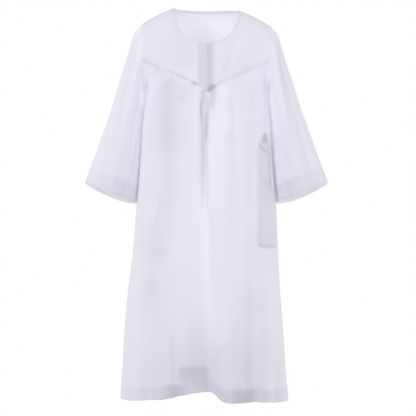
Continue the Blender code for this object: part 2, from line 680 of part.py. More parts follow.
def tassel(collection, finish):
    """A flat knot whose lower face runs out into two locks of four-sided strands."""
    wide, deep, tall = TASSEL_HEAD
    made = bmesh.new()
    bmesh.ops.create_grid(made, x_segments=TASSEL_STRANDS_ACROSS, y_segments=TASSEL_STRANDS_DEEP, size=0.5)
    head_z = np.array([TASSEL_TOP_Z, TASSEL_TOP_Z - tall])
    middle_y = float(on_front(np.full(2, TASSEL_X), head_z)[:, 1].min()) - deep / 2 - TASSEL_SEAT
    for vert in made.verts:
        vert.co = (TASSEL_X + vert.co.x * wide, middle_y + vert.co.y * deep, TASSEL_TOP_Z - tall)
    roots = list(made.faces)
    head = bmesh.ops.extrude_face_region(made, geom=roots, use_keep_orig=True)
    for vert in (item for item in head["geom"] if isinstance(item, bmesh.types.BMVert)):
        vert.co.z = TASSEL_TOP_Z
        vert.co.x = TASSEL_X + (vert.co.x - TASSEL_X) * TASSEL_HEAD_TOP[0]
        vert.co.y = middle_y + (vert.co.y - middle_y) * TASSEL_HEAD_TOP[1]
    bmesh.ops.recalc_face_normals(made, faces=made.faces)
    bmesh.ops.inset_individual(made, faces=roots, thickness=TASSEL_ROOT_INSET)
    grow_strands(made, roots)
    bmesh.ops.recalc_face_normals(made, faces=made.faces)
    mesh = bpy.data.meshes.new("tassel")
    made.to_mesh(mesh)
    made.free()
    return add_object("tassel", mesh, collection, finish)


def grow_strands(made, roots):
    """Draw each root face down in steps along its own strand."""
    runs = column(TASSEL_PARTING, TASSEL_PART_COLUMNS, "run")
    parting = column(TASSEL_PARTING, TASSEL_PART_COLUMNS, "parting")
    sway = column(TASSEL_PARTING, TASSEL_PART_COLUMNS, "sway")
    starts = [face.calc_center_median() for face in roots]
    ordered = sorted(range(len(roots)), key=lambda i: (round(starts[i].y, 5), starts[i].x))
    place = {index: order for order, index in enumerate(ordered)}
    low = TASSEL_TOP_Z - TASSEL_HEAD[2]
    length = TASSEL_LENGTH - TASSEL_HEAD[2]
    for index, root in enumerate(roots):
        across = place[index] % TASSEL_STRANDS_ACROSS
        layer = place[index] // TASSEL_STRANDS_ACROSS
        side = -1.0 if across < TASSEL_STRANDS_ACROSS // 2 else 1.0
        within = across % (TASSEL_STRANDS_ACROSS // 2) - (TASSEL_STRANDS_ACROSS // 2 - 1) / 2
        ending = 1.0 - TASSEL_SHORTER * ((across * 5 + layer * 3) % 4)
        face = root
        for step in range(1, TASSEL_STEPS + 1):
            run = step / TASSEL_STEPS
            z = low - length * run * ending
            pair = float(smooth_read(runs, parting, np.array(run)))
            drift = float(smooth_read(runs, sway, np.array(run)))
            gather = TASSEL_STRAND * float(np.interp(run, (0.0, 1.0), TASSEL_STRAND_GATHER))
            x = TASSEL_X + drift + side * pair + within * gather
            front_y = float(on_front(np.array(x), np.array(z))[1])
            y = front_y - TASSEL_STANDOFF + (layer - 0.5) * TASSEL_STRAND * TASSEL_LAYER_STEP
            blend = min(1.0, run / TASSEL_BLEND_RUN)
            x = starts[index].x + (x - starts[index].x) * blend
            y = starts[index].y + (y - starts[index].y) * blend
            face = bmesh.ops.extrude_discrete_faces(made, faces=[face])["faces"][0]
            place_square(face, x, y, z)


def place_square(face, x, y, z):
    """Move a four-cornered face to a level square of one strand's size."""
    middle = face.calc_center_median()
    half = TASSEL_STRAND / 2
    for vert in face.verts:
        across = half if vert.co.x > middle.x else -half
        deep = half if vert.co.y > middle.y else -half
        vert.co = (x + across, y + deep, z)


def build():
    """Build every piece of the robe."""
    for old in list(bpy.data.objects):
        bpy.data.objects.remove(old, do_unlink=True)
    robe = bpy.data.collections.new(COLLECTION_NAME)
    bpy.context.scene.collection.children.link(robe)
    front_panel(robe, material("front_cloth", CLOTH_COLOUR, 0.8))
    back_panel(robe, material("back_cloth", CLOTH_COLOUR, 0.8))
    side_yoke("front_yoke_left", -1.0, robe, material("yoke_left_cloth", CLOTH_COLOUR, 0.8))
    side_yoke("front_yoke_right", 1.0, robe, material("yoke_right_cloth", CLOTH_COLOUR, 0.8))
    placket(robe, material("placket_cloth", CLOTH_COLOUR, 0.8))
    placket_underlap(robe, material("underlap_cloth", POCKET_COLOUR, 0.8))
    sleeve("sleeve_left", -1.0, robe, material("sleeve_left_cloth", CLOTH_COLOUR, 0.8))
    sleeve("sleeve_right", 1.0, robe, material("sleeve_right_cloth", CLOTH_COLOUR, 0.8))
    neck_binding(robe, material("binding_cloth", BINDING_COLOUR, 0.8))
    pocket_bag("pocket_bag_left", POCKET_LEFT, robe, material("pocket_left_cloth", POCKET_COLOUR, 0.8))
    pocket_bag("pocket_bag_right", POCKET_RIGHT, robe, material("pocket_right_cloth", POCKET_COLOUR, 0.8))
    tassel(robe, material("tassel_thread", TASSEL_COLOUR, 0.7))


build()
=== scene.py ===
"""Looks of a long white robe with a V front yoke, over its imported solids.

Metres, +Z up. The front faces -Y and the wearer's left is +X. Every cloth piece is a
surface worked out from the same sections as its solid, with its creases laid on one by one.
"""
from __future__ import annotations

import logging
import math
from dataclasses import dataclass
from enum import Enum
from functools import cache

import bpy
import numpy as np
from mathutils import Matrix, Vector

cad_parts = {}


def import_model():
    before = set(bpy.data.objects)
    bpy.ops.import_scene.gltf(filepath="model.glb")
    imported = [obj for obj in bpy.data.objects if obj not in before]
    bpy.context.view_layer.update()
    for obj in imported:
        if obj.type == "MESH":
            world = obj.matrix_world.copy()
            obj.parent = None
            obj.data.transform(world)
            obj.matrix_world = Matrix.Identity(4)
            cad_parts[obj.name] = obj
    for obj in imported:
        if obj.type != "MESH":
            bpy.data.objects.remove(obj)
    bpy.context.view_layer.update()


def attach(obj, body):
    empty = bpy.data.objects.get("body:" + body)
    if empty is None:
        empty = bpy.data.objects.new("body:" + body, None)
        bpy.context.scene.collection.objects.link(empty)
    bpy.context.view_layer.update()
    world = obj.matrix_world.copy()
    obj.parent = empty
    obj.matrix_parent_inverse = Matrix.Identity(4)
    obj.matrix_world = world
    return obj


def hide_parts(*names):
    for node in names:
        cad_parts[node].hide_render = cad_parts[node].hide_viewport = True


LOG = logging.getLogger("robe")
FULL_TURN = 2 * math.pi
HALF_TURN = math.pi
QUARTER_TURN = math.pi / 2
TINY = 1e-12

Array = np.ndarray


class Side(Enum):
    """The two sides of the robe, as the photograph shows them."""

    LEFT = -1.0
    RIGHT = 1.0

    @property
    def word(self) -> str:
        """The side, as the pieces' names have it."""
        return self.name.lower()


class Slot(Enum):
    """The record's material slots."""

    BODY = "body_cloth"
    YOKE = "yoke_cloth"
    PLACKET = "placket_cloth"
    SLEEVE = "sleeve_cloth"
    BINDING = "binding_cloth"
    POCKET = "pocket_cloth"
    TASSEL = "tassel_thread"


def ease(t: Array) -> Array:
    """A smooth step: 3t² - 2t³, with t held between 0 and 1."""
    held = np.clip(t, 0.0, 1.0)
    return held * held * (3 - 2 * held)


def bump(distance: Array, width: float | Array) -> Array:
    """A soft hump, exp(-(distance / width)²), which has sunk to about a third at its width."""
    return np.exp(-((distance / width) ** 2))


def hill(distance: Array, width: float | Array) -> Array:
    """A raised cosine squared: 1 on its middle line, and 0 from its width outward."""
    return np.cos(np.clip(np.abs(distance) / width, 0, 1) * QUARTER_TURN) ** 2


def unit(vectors: Array) -> Array:
    """The vectors at length 1, one in each row."""
    return vectors / np.maximum(np.linalg.norm(vectors, axis=-1, keepdims=True), TINY)


def turns_round(count: int) -> Array:
    """Turns spread evenly round a ring."""
    return np.arange(count) / count * FULL_TURN


def quads(count: int, rows: int, columns: int, closed: bool = True) -> Array:
    """Faces between neighbours, on grids of points that follow one another.

    Args:
        count: Number of grids.
        rows: Rows of points in each grid.
        columns: Points in each row.
        closed: Whether each row joins its own start.

    Returns:
        Four point numbers a row: forward along a row of points, then back along the next.
    """
    across = columns if closed else columns - 1
    one, row, column = np.meshgrid(np.arange(count), np.arange(rows - 1), np.arange(across), indexing="ij")
    base = (one * rows + row) * columns
    after = (column + 1) % columns
    faces = np.stack([base + column, base + after, base + columns + after, base + columns + column], axis=-1)
    return faces.reshape(-1, 4)


def put(name: str, data: bpy.types.ID) -> bpy.types.Object:
    """A new object in the scene.

    Args:
        name: Name of the object.
        data: Its mesh, lamp or camera.

    Returns:
        The object, at the origin.
    """
    made = bpy.data.objects.new(name, data)
    bpy.context.scene.collection.objects.link(made)
    return made


def put_mesh(name: str, points: Array, faces: Array, **values: Array) -> bpy.types.Object:
    """A smooth mesh in the scene, with named values at its points.

    Args:
        name: Name of the mesh and of its object.
        points: Three coordinates a row.
        faces: Point numbers of one face a row.
        values: A value at each point for each attribute.

    Returns:
        The object, at the origin.
    """
    mesh = bpy.data.meshes.new(name)
    mesh.from_pydata(points, [], faces)
    for label, spread in values.items():
        attribute = mesh.attributes.new(label, "FLOAT", "POINT")
        attribute.data.foreach_set("value", np.asarray(spread, dtype=np.float32).reshape(-1))
    mesh.shade_smooth()
    mesh.update()
    return put(name, mesh)


@dataclass(frozen=True)
class Table:
    """A short table whose first column is the place where each row applies."""

    columns: tuple[str, ...]
    rows: tuple[tuple[float, ...], ...]

    def column(self, name: str) -> Array:
        """One named column as an array."""
        place = self.columns.index(name)
        return np.array([row[place] for row in self.rows], dtype=float)

    def read(self, name: str, at: Array) -> Array:
        """A smooth curve through a column: cubic pieces that keep their slope at each row.

        Args:
            name: The column.
            at: Places along the first column.

        Returns:
            The column's value at each place.
        """
        xs = self.column(self.columns[0])
        ys = self.column(name)
        slopes = np.gradient(ys, xs)
        held = np.clip(at, xs[0], xs[-1])
        left = np.clip(np.searchsorted(xs, held, side="right") - 1, 0, len(xs) - 2)
        span = xs[left + 1] - xs[left]
        t = (held - xs[left]) / span
        start = (1 + 2 * t) * (1 - t) ** 2 * ys[left] + t * (1 - t) ** 2 * span * slopes[left]
        end = t**2 * (3 - 2 * t) * ys[left + 1] + t**2 * (t - 1) * span * slopes[left + 1]
        return start + end


@dataclass(frozen=True)
class Fold:
    """A long fold of the robe's form that grows from one place down to another."""

    x_top: float
    x_end: float
    drop_top: float
    drop_end: float
    left: float
    right: float
    top: float
    end: float
    growth: float = 1.4
    fade: float = 0.15

    def height(self, x: Array, z: Array) -> Array:
        """Height over the form: a raised cosine squared across, a power of the run along.

        Args:
            x: Places across.
            z: Heights.

        Returns:
            How far the cloth stands out, under 0 where it sinks in.
        """
        run = (-z - self.drop_top) / (self.drop_end - self.drop_top)
        along = np.clip(run, 0, 1)
        centre = self.x_top + (self.x_end - self.x_top) * along
        width = np.where(x < centre, self.left, self.right)
        across = hill(x - centre, width)
        fade = ease((run + self.fade) / (2 * self.fade)) * ease((1 + 2 * self.fade - run) / (2 * self.fade))
        return (self.top + (self.end - self.top) * along**self.growth) * across * fade


@dataclass(frozen=True)
class Stroke:
    """A soft line over the cloth: a crease in its surface, a place where more cloth shows behind, a line of
    painted shade, or a painted highlight where its strength is under 0.
    """

    path: tuple[tuple[float, float], ...]
    width: float
    strength: float
    width_end: float | None = None
    fade: float = 0.25
    lean: float = 1.0

    def value(self, a: Array, b: Array) -> Array:
        """Strength times a soft hump of the distance to the path, faded at both ends.

        Args:
            a: First coordinate over the cloth, in metres.
            b: Second coordinate over the cloth, in metres.

        Returns:
            The stroke's value at each point.
        """
        points = np.array(self.path)
        steps = np.diff(points, axis=0)
        lengths = np.hypot(steps[:, 0], steps[:, 1])
        starts = np.concatenate([[0.0], np.cumsum(lengths)])
        nearest = np.full(a.shape, np.inf)
        along = np.zeros(a.shape)
        lying = np.zeros(a.shape)
        for index in range(len(steps)):
            da = a - points[index, 0]
            db = b - points[index, 1]
            direction = steps[index] / lengths[index]
            t = np.clip(da * direction[0] + db * direction[1], 0, lengths[index])
            distance = np.hypot(da - direction[0] * t, db - direction[1] * t)
            closer = distance < nearest
            nearest = np.where(closer, distance, nearest)
            along = np.where(closer, starts[index] + t, along)
            lying = np.where(closer, direction[0] * db - direction[1] * da, lying)
        run = along / starts[-1]
        width = self.width + ((self.width_end or self.width) - self.width) * run
        width = width * np.where(lying > 0, self.lean, 1.0)
        ends = ease(run / self.fade) * ease((1 - run) / self.fade) if self.fade > 0 else 1.0
        return self.strength * bump(nearest, width) * ends


@dataclass(frozen=True)
class Patch:
    """A soft-edged region over the cloth with rounded corners, where more cloth lies behind, also used for
    broad painted shade.
    """

    low: tuple[float, float]
    high: tuple[float, float]
    strength: float
    edge: float = 0.002
    corner: float = 0.02
    rim: float = 0.0

    def value(self, a: Array, b: Array) -> Array:
        """Strength inside a rounded box, falling to 0 over its edge, with a darker rim.

        Args:
            a: First coordinate over the cloth, in metres.
            b: Second coordinate over the cloth, in metres.

        Returns:
            The patch's value at each point.
        """
        middle = (np.array(self.low) + np.array(self.high)) / 2
        half = (np.array(self.high) - np.array(self.low)) / 2 - self.corner
        qa = np.abs(a - middle[0]) - half[0]
        qb = np.abs(b - middle[1]) - half[1]
        outside = np.hypot(np.maximum(qa, 0), np.maximum(qb, 0))
        distance = outside + np.minimum(np.maximum(qa, qb), 0) - self.corner
        inside = ease(0.5 - distance / (2 * self.edge))
        return self.strength * inside + self.rim * bump(distance + self.edge, self.edge * 1.6)


@dataclass(frozen=True)
class RobeForm:
    """The robe's sections, as its solids have them."""

    cloth: float = 0.0012
    turn_up: float = 0.045
    neck_half_width: float = 0.107
    neck_point_z: float = 0.0025
    neck_tilt: float = 0.039
    shoulder_slope: float = 0.33
    shoulder_droop: float = 1.75
    shoulder_blend: float = 0.02
    ridge_reach: float = 0.0015
    neck_front_drop: float = 0.120
    neck_back_lift: float = 0.005
    neck_back_fall: float = 0.8
    neck_squareness: float = 2.5
    placket_left: float = -0.030
    placket_edge: float = 0.0215
    underlap_left: float = 0.0035
    underlap_right: float = 0.0275
    yoke_point_x: float = 0.004
    yoke_point_z: float = -0.284
    yoke_rise: float = 0.100
    yoke_reach: float = 0.200
    yoke_curve: float = 0.87
    yoke_point_reach: float = 0.09
    seam_line: float = 0.0050
    armhole_x: float = 0.206
    underarm_z: float = -0.265
    armhole_depth: float = 0.078
    underarm_closing: float = 1.7
    front_round: float = 0.36
    front_round_power: float = 0.55
    back_round: float = 0.13
    back_round_power: float = 0.632
    fold_settle: float = 0.7
    hem_left_z: float = -1.281
    hem_right_z: float = -1.287
    hem_front_rise: float = 0.014
    hem_back_rise: float = 0.020
    hem_hollow_x: float = 0.012
    hem_hollow_left: float = 0.170
    hem_hollow_right: float = 0.046
    hem_hollow_rise: float = 0.018
    sections: Table = Table(
        ("drop", "left", "right", "front", "back", "squareness"),
        (
            (0.000, 0.206, 0.206, 0.115, 0.105, 2.00),
            (0.200, 0.206, 0.206, 0.116, 0.105, 1.90),
            (0.265, 0.206, 0.206, 0.119, 0.105, 1.15),
            (0.360, 0.2105, 0.2100, 0.121, 0.106, 0.62),
            (0.465, 0.2165, 0.2160, 0.123, 0.108, 0.60),
            (0.640, 0.2305, 0.2300, 0.127, 0.116, 0.68),
            (0.825, 0.2460, 0.2377, 0.132, 0.128, 0.72),
            (0.945, 0.2610, 0.2444, 0.136, 0.138, 0.68),
            (1.065, 0.2710, 0.2540, 0.140, 0.148, 0.64),
            (1.185, 0.2776, 0.2610, 0.145, 0.158, 0.60),
            (1.300, 0.2850, 0.2715, 0.150, 0.168, 0.58),
        ),
    )
    front_folds: tuple[Fold, ...] = (
        Fold(-0.020, 0.012, 0.84, 1.30, 0.270, 0.050, 0.000, -0.078),
        Fold(0.072, 0.074, 0.90, 1.30, 0.022, 0.090, 0.000, 0.016),
        Fold(-0.004, 0.018, 0.50, 1.12, 0.022, 0.022, 0.003, 0.006),
        Fold(-0.145, -0.130, 0.26, 0.66, 0.040, 0.030, -0.006, -0.009),
        Fold(-0.130, -0.185, 0.62, 0.90, 0.030, 0.030, -0.008, -0.003),
        Fold(0.062, 0.066, 0.27, 0.60, 0.024, 0.030, 0.006, 0.003),
        Fold(0.140, 0.150, 0.70, 1.30, 0.030, 0.030, -0.003, -0.012),
        Fold(0.215, 0.222, 0.88, 1.30, 0.026, 0.026, 0.004, 0.010),
        Fold(-0.235, -0.245, 0.78, 1.30, 0.026, 0.026, 0.003, 0.009),
        Fold(-0.190, -0.180, 0.86, 1.30, 0.030, 0.034, -0.004, -0.012),
        Fold(-0.098, -0.088, 0.98, 1.30, 0.024, 0.020, -0.002, -0.010),
        Fold(0.160, 0.150, 0.28, 0.60, 0.030, 0.036, -0.003, -0.006),
    )
    back_folds: tuple[Fold, ...] = (
        Fold(0.000, 0.010, 0.30, 1.30, 0.060, 0.060, -0.004, -0.030),
        Fold(0.080, 0.105, 0.45, 1.30, 0.034, 0.040, 0.004, 0.016),
        Fold(-0.085, -0.100, 0.40, 1.30, 0.038, 0.034, 0.004, 0.014),
        Fold(0.150, 0.190, 0.55, 1.30, 0.030, 0.034, -0.004, -0.018),
        Fold(-0.150, -0.180, 0.50, 1.30, 0.034, 0.030, -0.003, -0.020),
        Fold(-0.030, -0.045, 0.16, 0.60, 0.026, 0.024, 0.005, 0.003),
        Fold(0.050, 0.040, 0.18, 0.52, 0.026, 0.026, -0.004, -0.003),
    )

    def shoulder_z(self, x: Array) -> Array:
        """Height of the shoulder line: a slope from the neck that steepens with the square of x.

        Args:
            x: Places across.

        Returns:
            The line's height at each place.
        """
        tilt = -self.neck_tilt * np.clip(x, -self.neck_half_width, self.neck_half_width)
        reach = np.sqrt(x**2 + self.shoulder_blend**2) - self.neck_half_width
        droop = self.shoulder_droop * np.maximum(reach, 0) ** 2
        return self.neck_point_z + tilt - self.shoulder_slope * reach - droop

    def half_width(self, theta: Array, z: Array) -> Array:
        """Half width of the section on the side that theta points to."""
        left, right = (self.sections.read(side, -z) for side in ("left", "right"))
        return np.where(np.sin(theta) < 0, left, right)

    def armhole(self, below: Array, tip_z: Array) -> Array:
        """Depth of the armhole's upright oval, drawn in toward the underarm.

        Args:
            below: Distance below the shoulder line.
            tip_z: Height of the shoulder's tip.

        Returns:
            Half the depth of the oval, front to back.
        """
        half = (tip_z - self.underarm_z) / 2
        place = np.clip((below - half) / half, -1, 1)
        power = np.where(place > 0, self.underarm_closing, 1.0)
        return self.armhole_depth * np.sqrt(1 - place**2) ** power

    def point(self, theta: Array, z: Array) -> Array:
        """Outer surface of the body.

        Half width times sin(theta) across. In depth, a power of cos(theta) between the
        armhole's oval and the section's depth, rounded over toward the shoulder, plus folds.

        Args:
            theta: Turn, 0 at centre front, a quarter turn at the side seam.
            z: Height.

        Returns:
            Points, one row of three for each place.
        """
        theta, z = np.broadcast_arrays(np.asarray(theta, float), np.asarray(z, float))
        x = self.half_width(theta, z) * np.sin(theta)
        toward = np.abs(np.cos(theta))
        tip_z = self.shoulder_z(np.where(np.sin(theta) < 0, -self.armhole_x, self.armhole_x))
        below = np.maximum(self.shoulder_z(x) - z, 0)
        side = self.armhole(below, tip_z)
        power = self.sections.read("squareness", -z)
        front_out = (1 - (1 - np.clip(below / self.front_round, 0, 1)) ** 2) ** self.front_round_power
        back_out = (1 - (1 - np.clip(below / self.back_round, 0, 1)) ** 2) ** self.back_round_power
        front = self.sections.read("front", -z) * front_out
        back = self.sections.read("back", -z) * back_out
        settle = toward**self.fold_settle
        front = side + (front - side) * toward**power
        front = front + sum(fold.height(x, z) for fold in self.front_folds) * settle
        back = side + (back - side) * toward**power
        back = back + sum(fold.height(x, z) for fold in self.back_folds) * settle
        return np.stack([x, np.where(np.cos(theta) >= 0, -front, back), z], axis=-1)

    def outward(self, theta: Array, z: Array) -> Array:
        """Unit vectors out of the body: the cross product of its two slopes, eased at the shoulder line.

        Args:
            theta: Turn round the body.
            z: Height.

        Returns:
            One unit vector for each place.
        """
        step = 1e-4
        across = self.point(theta + step, z) - self.point(theta - step, z)
        up = self.point(theta, z + step) - self.point(theta, z - step)
        out = unit(np.cross(across, up))
        x = self.half_width(theta, z) * np.sin(theta)
        ridge = unit(np.stack([self.shoulder_slope * np.sign(x), np.zeros_like(x), np.ones_like(x)], axis=-1))
        near = np.exp(-np.maximum(self.shoulder_z(x) - z, 0) / self.ridge_reach)[..., None]
        return unit(out * (1 - near) + ridge * near)

    def front_turn(self, x: Array, z: Array) -> Array:
        """The turn at which the front of the section reaches x."""
        side = np.where(x < 0, self.sections.read("left", -z), self.sections.read("right", -z))
        return np.arcsin(np.clip(x / side, -1, 1))

    def yoke_seam_z(self, x: Array) -> Array:
        """The V seam: lowest at its point, rising by a power of the distance to the armholes."""
        reach = np.abs(x - self.yoke_point_x) / self.yoke_reach
        return self.yoke_point_z + self.yoke_rise * reach**self.yoke_curve

    def hem_z(self, theta: Array, x: Array) -> Array:
        """Height of the hem line, raised at centre front by a raised cosine squared.

        Args:
            theta: Turn round the body.
            x: Place across.

        Returns:
            Height of the hem at each place.
        """
        toward = np.abs(np.cos(theta))
        side = (self.hem_left_z + self.hem_right_z) / 2
        side = side + (self.hem_right_z - self.hem_left_z) / 2 * np.sin(theta)
        from_hollow = x - self.hem_hollow_x
        width = np.where(from_hollow < 0, self.hem_hollow_left, self.hem_hollow_right)
        hollow = hill(from_hollow, width)
        front = side + self.hem_front_rise * toward + self.hem_hollow_rise * hollow
        return np.where(np.cos(theta) >= 0, front, side + self.hem_back_rise * toward)

    def neck_line(self, phi: Array, away: Array, back: bool = False) -> tuple[Array, Array]:
        """The neck opening's edge: a rounded curve below at the front, nearly straight behind.

        Args:
            phi: Turn round the opening, 0 at centre front.
            away: Distance from the edge, over 0 into the cloth.
            back: Whether the back's edge is read.

        Returns:
            Place across and height of each point.
        """
        wide = self.neck_half_width + away
        side = np.where(np.sin(phi) < 0, -1.0, 1.0)
        share = np.abs(np.sin(phi)) ** (2 / self.neck_squareness)
        x = wide * side * share
        if back:
            level = (self.shoulder_z(wide) + self.shoulder_z(-wide)) / 2 - self.neck_tilt * x
            middle = self.neck_point_z + self.neck_back_lift - self.neck_back_fall * away - level
            return x, np.minimum(level + middle * (1 - share**2), self.shoulder_z(x))
        side_z = self.shoulder_z(wide * side)
        middle_z = self.shoulder_z(np.array(self.neck_half_width)) - self.neck_front_drop - away
        z = side_z + (middle_z - side_z) * np.abs(np.cos(phi))
        return x, np.minimum(z, self.shoulder_z(x))

    def neck_turn(self, x: Array) -> Array:
        """The turn round the neck opening at which its front edge reaches x."""
        share = np.clip(np.abs(x) / self.neck_half_width, 0, 1) ** (self.neck_squareness / 2)
        return np.arcsin(share) * np.sign(x)

    def seam_layers(self, x: Array, above: Array, along: float, at_point: float) -> Array:
        """Layers that show in the V seam: unevenly, more at its point, less to the photo's right.

        Args:
            x: Places across.
            above: Heights over the seam.
            along: Layers all along the seam.
            at_point: Layers more at its point.

        Returns:
            The layers at each place.
        """
        uneven = 1 + 0.45 * np.sin(x * 62 + 0.6) + 0.25 * np.sin(x * 147)
        tone = uneven * (1 - 0.35 * ease((x - 0.05) / 0.10))
        near_point = bump(x - self.yoke_point_x, self.yoke_point_reach)
        return (along + at_point * near_point) * tone * bump(above - 0.001, self.seam_line)

    def on_front(self, x: Array, z: Array, out: Array | float) -> Array:
        """Points over the front at x and z, moved out along its outward vectors.

        Args:
            x: Places across.
            z: Heights.
            out: Distances out of the surface.

        Returns:
            Points, one row of three for each place.
        """
        theta = self.front_turn(x, z)
        out = np.broadcast_to(out, theta.shape)
        return self.point(theta, z) + self.outward(theta, z) * out[..., None]


@dataclass(frozen=True)
class SleeveForm:
    """The sleeves' sections, as their solids have them. Left is the mirror of right, a little wider."""

    robe: RobeForm
    gap: float = 0.0006
    clearance: float = 0.0011
    left_wider: float = 0.005
    left_runs: tuple[float, float, float, float] = (0.02, 0.14, 0.30, 0.70)
    tip_run: float = 0.20
    gap_run: float = 0.10
    closing_run: float = 0.16
    flattening: float = 0.42
    cuff_start: float = 0.30
    cuff_bulge: float = 0.009
    cuff_back_drop: float = 0.007
    outer: Table = Table(
        ("run", "x", "z"),
        (
            (0.00, 0.2072, -0.0522),
            (0.02, 0.2122, -0.0559),
            (0.06, 0.2240, -0.0665),
            (0.11, 0.2365, -0.0850),
            (0.16, 0.2435, -0.1050),
            (0.27, 0.2590, -0.1600),
            (0.43, 0.2870, -0.2460),
            (0.57, 0.3120, -0.3260),
            (0.71, 0.3400, -0.4057),
            (0.85, 0.3680, -0.4855),
            (1.00, 0.4000, -0.5760),
        ),
    )
    inner: Table = Table(
        ("run", "z"),
        (
            (0.00, -0.265),
            (0.02, -0.273),
            (0.11, -0.300),
            (0.27, -0.350),
            (0.43, -0.405),
            (0.57, -0.460),
            (0.71, -0.520),
            (0.85, -0.580),
            (1.00, -0.641),
        ),
    )
    depths: Table = Table(
        ("run", "depth", "middle"),
        (
            (0.00, 0.0780, 0.000),
            (0.12, 0.0800, 0.000),
            (0.40, 0.0790, -0.004),
            (0.70, 0.0680, -0.012),
            (1.00, 0.0560, -0.020),
        ),
    )
    folds: tuple[tuple[float, float, float, float, float], ...] = (
        (0.16, 0.10, 0.95, 0.055, -0.006),
        (0.25, 0.20, 1.00, 0.050, 0.004),
        (0.33, 0.05, 0.80, 0.050, -0.005),
        (0.66, 0.10, 0.90, 0.060, -0.006),
        (0.78, 0.20, 1.00, 0.050, 0.004),
    )
    fold_fade: float = 0.2

    def depth(self, run: Array, turn: Array) -> Array:
        """Half depth of the sleeve: its section's, plus raised cosines squared for the folds.

        Args:
            run: Place along the sleeve, 0 at the armhole and 1 at the cuff.
            turn: Share of a turn round it, 0 along the top.

        Returns:
            Half depth, front to back.
        """
        total = self.depths.read("depth", run)
        for middle, start, stop, width, height in self.folds:
            across = hill(turn - middle, width)
            begun = ease((run - start) / self.fold_fade)
            total = total + height * across * begun * ease((stop + self.fold_fade / 2 - run) / self.fold_fade)
        return total

    def point(self, side: Side, run: Array, turn: Array) -> Array:
        """A point of a sleeve: an oval between the outer and the inner line, cut at a slant.

        Args:
            side: Which sleeve.
            run: Place along it, 0 at the armhole and 1 at the cuff.
            turn: Share of a turn round it, 0 along the top and a quarter at the front.

        Returns:
            Points, one row of three for each place.
        """
        sign = side.value
        robe = self.robe
        held = np.clip(run, 0, 1)
        turn = np.mod(turn, 1.0)
        tip_z = float(robe.shoulder_z(np.array(sign * robe.armhole_x)))
        outer_x = self.outer.read("x", held)
        to_tip = tip_z - self.outer.rows[0][2]
        outer_z = self.outer.read("z", held) + to_tip * (1 - ease(held / self.tip_run))
        if side is Side.LEFT:
            begin, full, fall, stop = self.left_runs
            wider = ease((held - begin) / (full - begin)) * ease((stop - held) / (stop - fall))
            outer_x = outer_x + self.left_wider * wider
        inner_z = self.inner.read("z", held)
        beside = robe.sections.read("left" if side is Side.LEFT else "right", -inner_z)
        inner_x = beside + self.gap + (self.clearance - self.gap) * ease(held / self.gap_run)
        lean = np.cos(turn * FULL_TURN)
        swing = np.sin(turn * FULL_TURN)
        closing = np.where(lean < 0, robe.underarm_closing, 1.0)
        flattened = 1.0 - self.flattening * ease(-lean)
        closing = closing + (flattened - closing) * ease(held / self.closing_run)
        depth = self.depth(held, turn) * np.sign(swing) * np.abs(swing) ** closing
        down = self.cuff_bulge * swing**2 + self.cuff_back_drop * np.clip(-swing, 0, 1)
        down = down * ease((held - self.cuff_start) / (1 - self.cuff_start))
        x = sign * ((outer_x + inner_x) / 2 + (outer_x - inner_x) / 2 * lean)
        z = (outer_z + inner_z) / 2 + (outer_z - inner_z) / 2 * lean - down
        return np.stack([x, self.depths.read("middle", held) - depth, z], axis=-1)

    def outward(self, side: Side, run: Array, turn: Array) -> Array:
        """Unit vectors out of the sleeve: the cross product of its two slopes.

        Args:
            side: Which sleeve.
            run: Place along it.
            turn: Share of a turn round it.

        Returns:
            One unit vector for each place.
        """
        step = 2e-3
        held = np.clip(run, 2 * step, 1 - 2 * step)
        along = self.point(side, held + step, turn) - self.point(side, held - step, turn)
        around = self.point(side, held, turn + step) - self.point(side, held, turn - step)
        out = unit(np.cross(around, along)) * side.value
        middle = self.point(side, held, turn + 0.0) - self.point(side, held, turn + 0.5)
        facing = np.sign(np.sum(out * middle, axis=-1, keepdims=True))
        return out * np.where(facing == 0, 1.0, facing)


@dataclass
class ClothGrid:
    """A grid of cloth points with its weave's coordinates, its darkening for the cloth behind it and for
    painted shade, and its glow.

    Glow is more light passing through, where cloth hangs against cloth or turns away thin.
    """

    points: Array
    weave: Array
    layers: Array
    glow: Array | float = 0.0
    closed: bool = False
    flip: bool = False

    def line(self, place: Array, level: float, upright: bool = False) -> tuple[Array, Array]:
        """A line over the cloth where a rising or falling value passes a level.

        Args:
            place: The value at each point of the grid's first rows.
            level: The value that the line follows.
            upright: Whether the value changes along the rows, so that the line runs down them.

        Returns:
            The line's points and the cloth's outward vectors there.
        """
        points = self.points[: len(place)]
        normals = np.cross(np.gradient(points, axis=0), np.gradient(points, axis=1))
        normals = -normals if self.flip else normals
        if upright:
            place = place.T
            points = points.transpose(1, 0, 2)
            normals = normals.transpose(1, 0, 2)
        row = np.argmax((place[:-1] - level) * (place[1:] - level) <= 0, axis=0)
        column = np.arange(points.shape[1])
        first, second = place[row, column], place[row + 1, column]
        t = np.clip((level - first) / np.where(second == first, 1.0, second - first), 0, 1)[:, None]
        line = points[row, column] * (1 - t) + points[row + 1, column] * t
        return line, unit(normals[row, column])

    def build(self, name: str) -> bpy.types.Object:
        """A mesh object from the grid: quads between neighbours, a UV map and two attributes.

        Args:
            name: Name of the object.

        Returns:
            The new object, at the origin.
        """
        rows, columns = self.points.shape[:2]
        order = [1, 2, 3, 0] if self.flip else [0, 3, 2, 1]
        faces = quads(1, rows, columns, self.closed)[:, order]
        glow = np.broadcast_to(self.glow, self.layers.shape)
        # Darkening for the cloth behind and for painted shade, and the glow of painted light passing through.
        shades = {"layers": np.clip(self.layers, 0, 2), "glow": np.clip(glow, 0, 2)}
        made = put_mesh(name, self.points.reshape(-1, 3), faces, **shades)
        places = quads(1, rows, self.weave.shape[1], closed=False)[:, order]
        uv = self.weave.reshape(-1, 2)[places].astype(np.float32)
        made.data.uv_layers.new(name="weave").data.foreach_set("uv", uv.reshape(-1))
        return made


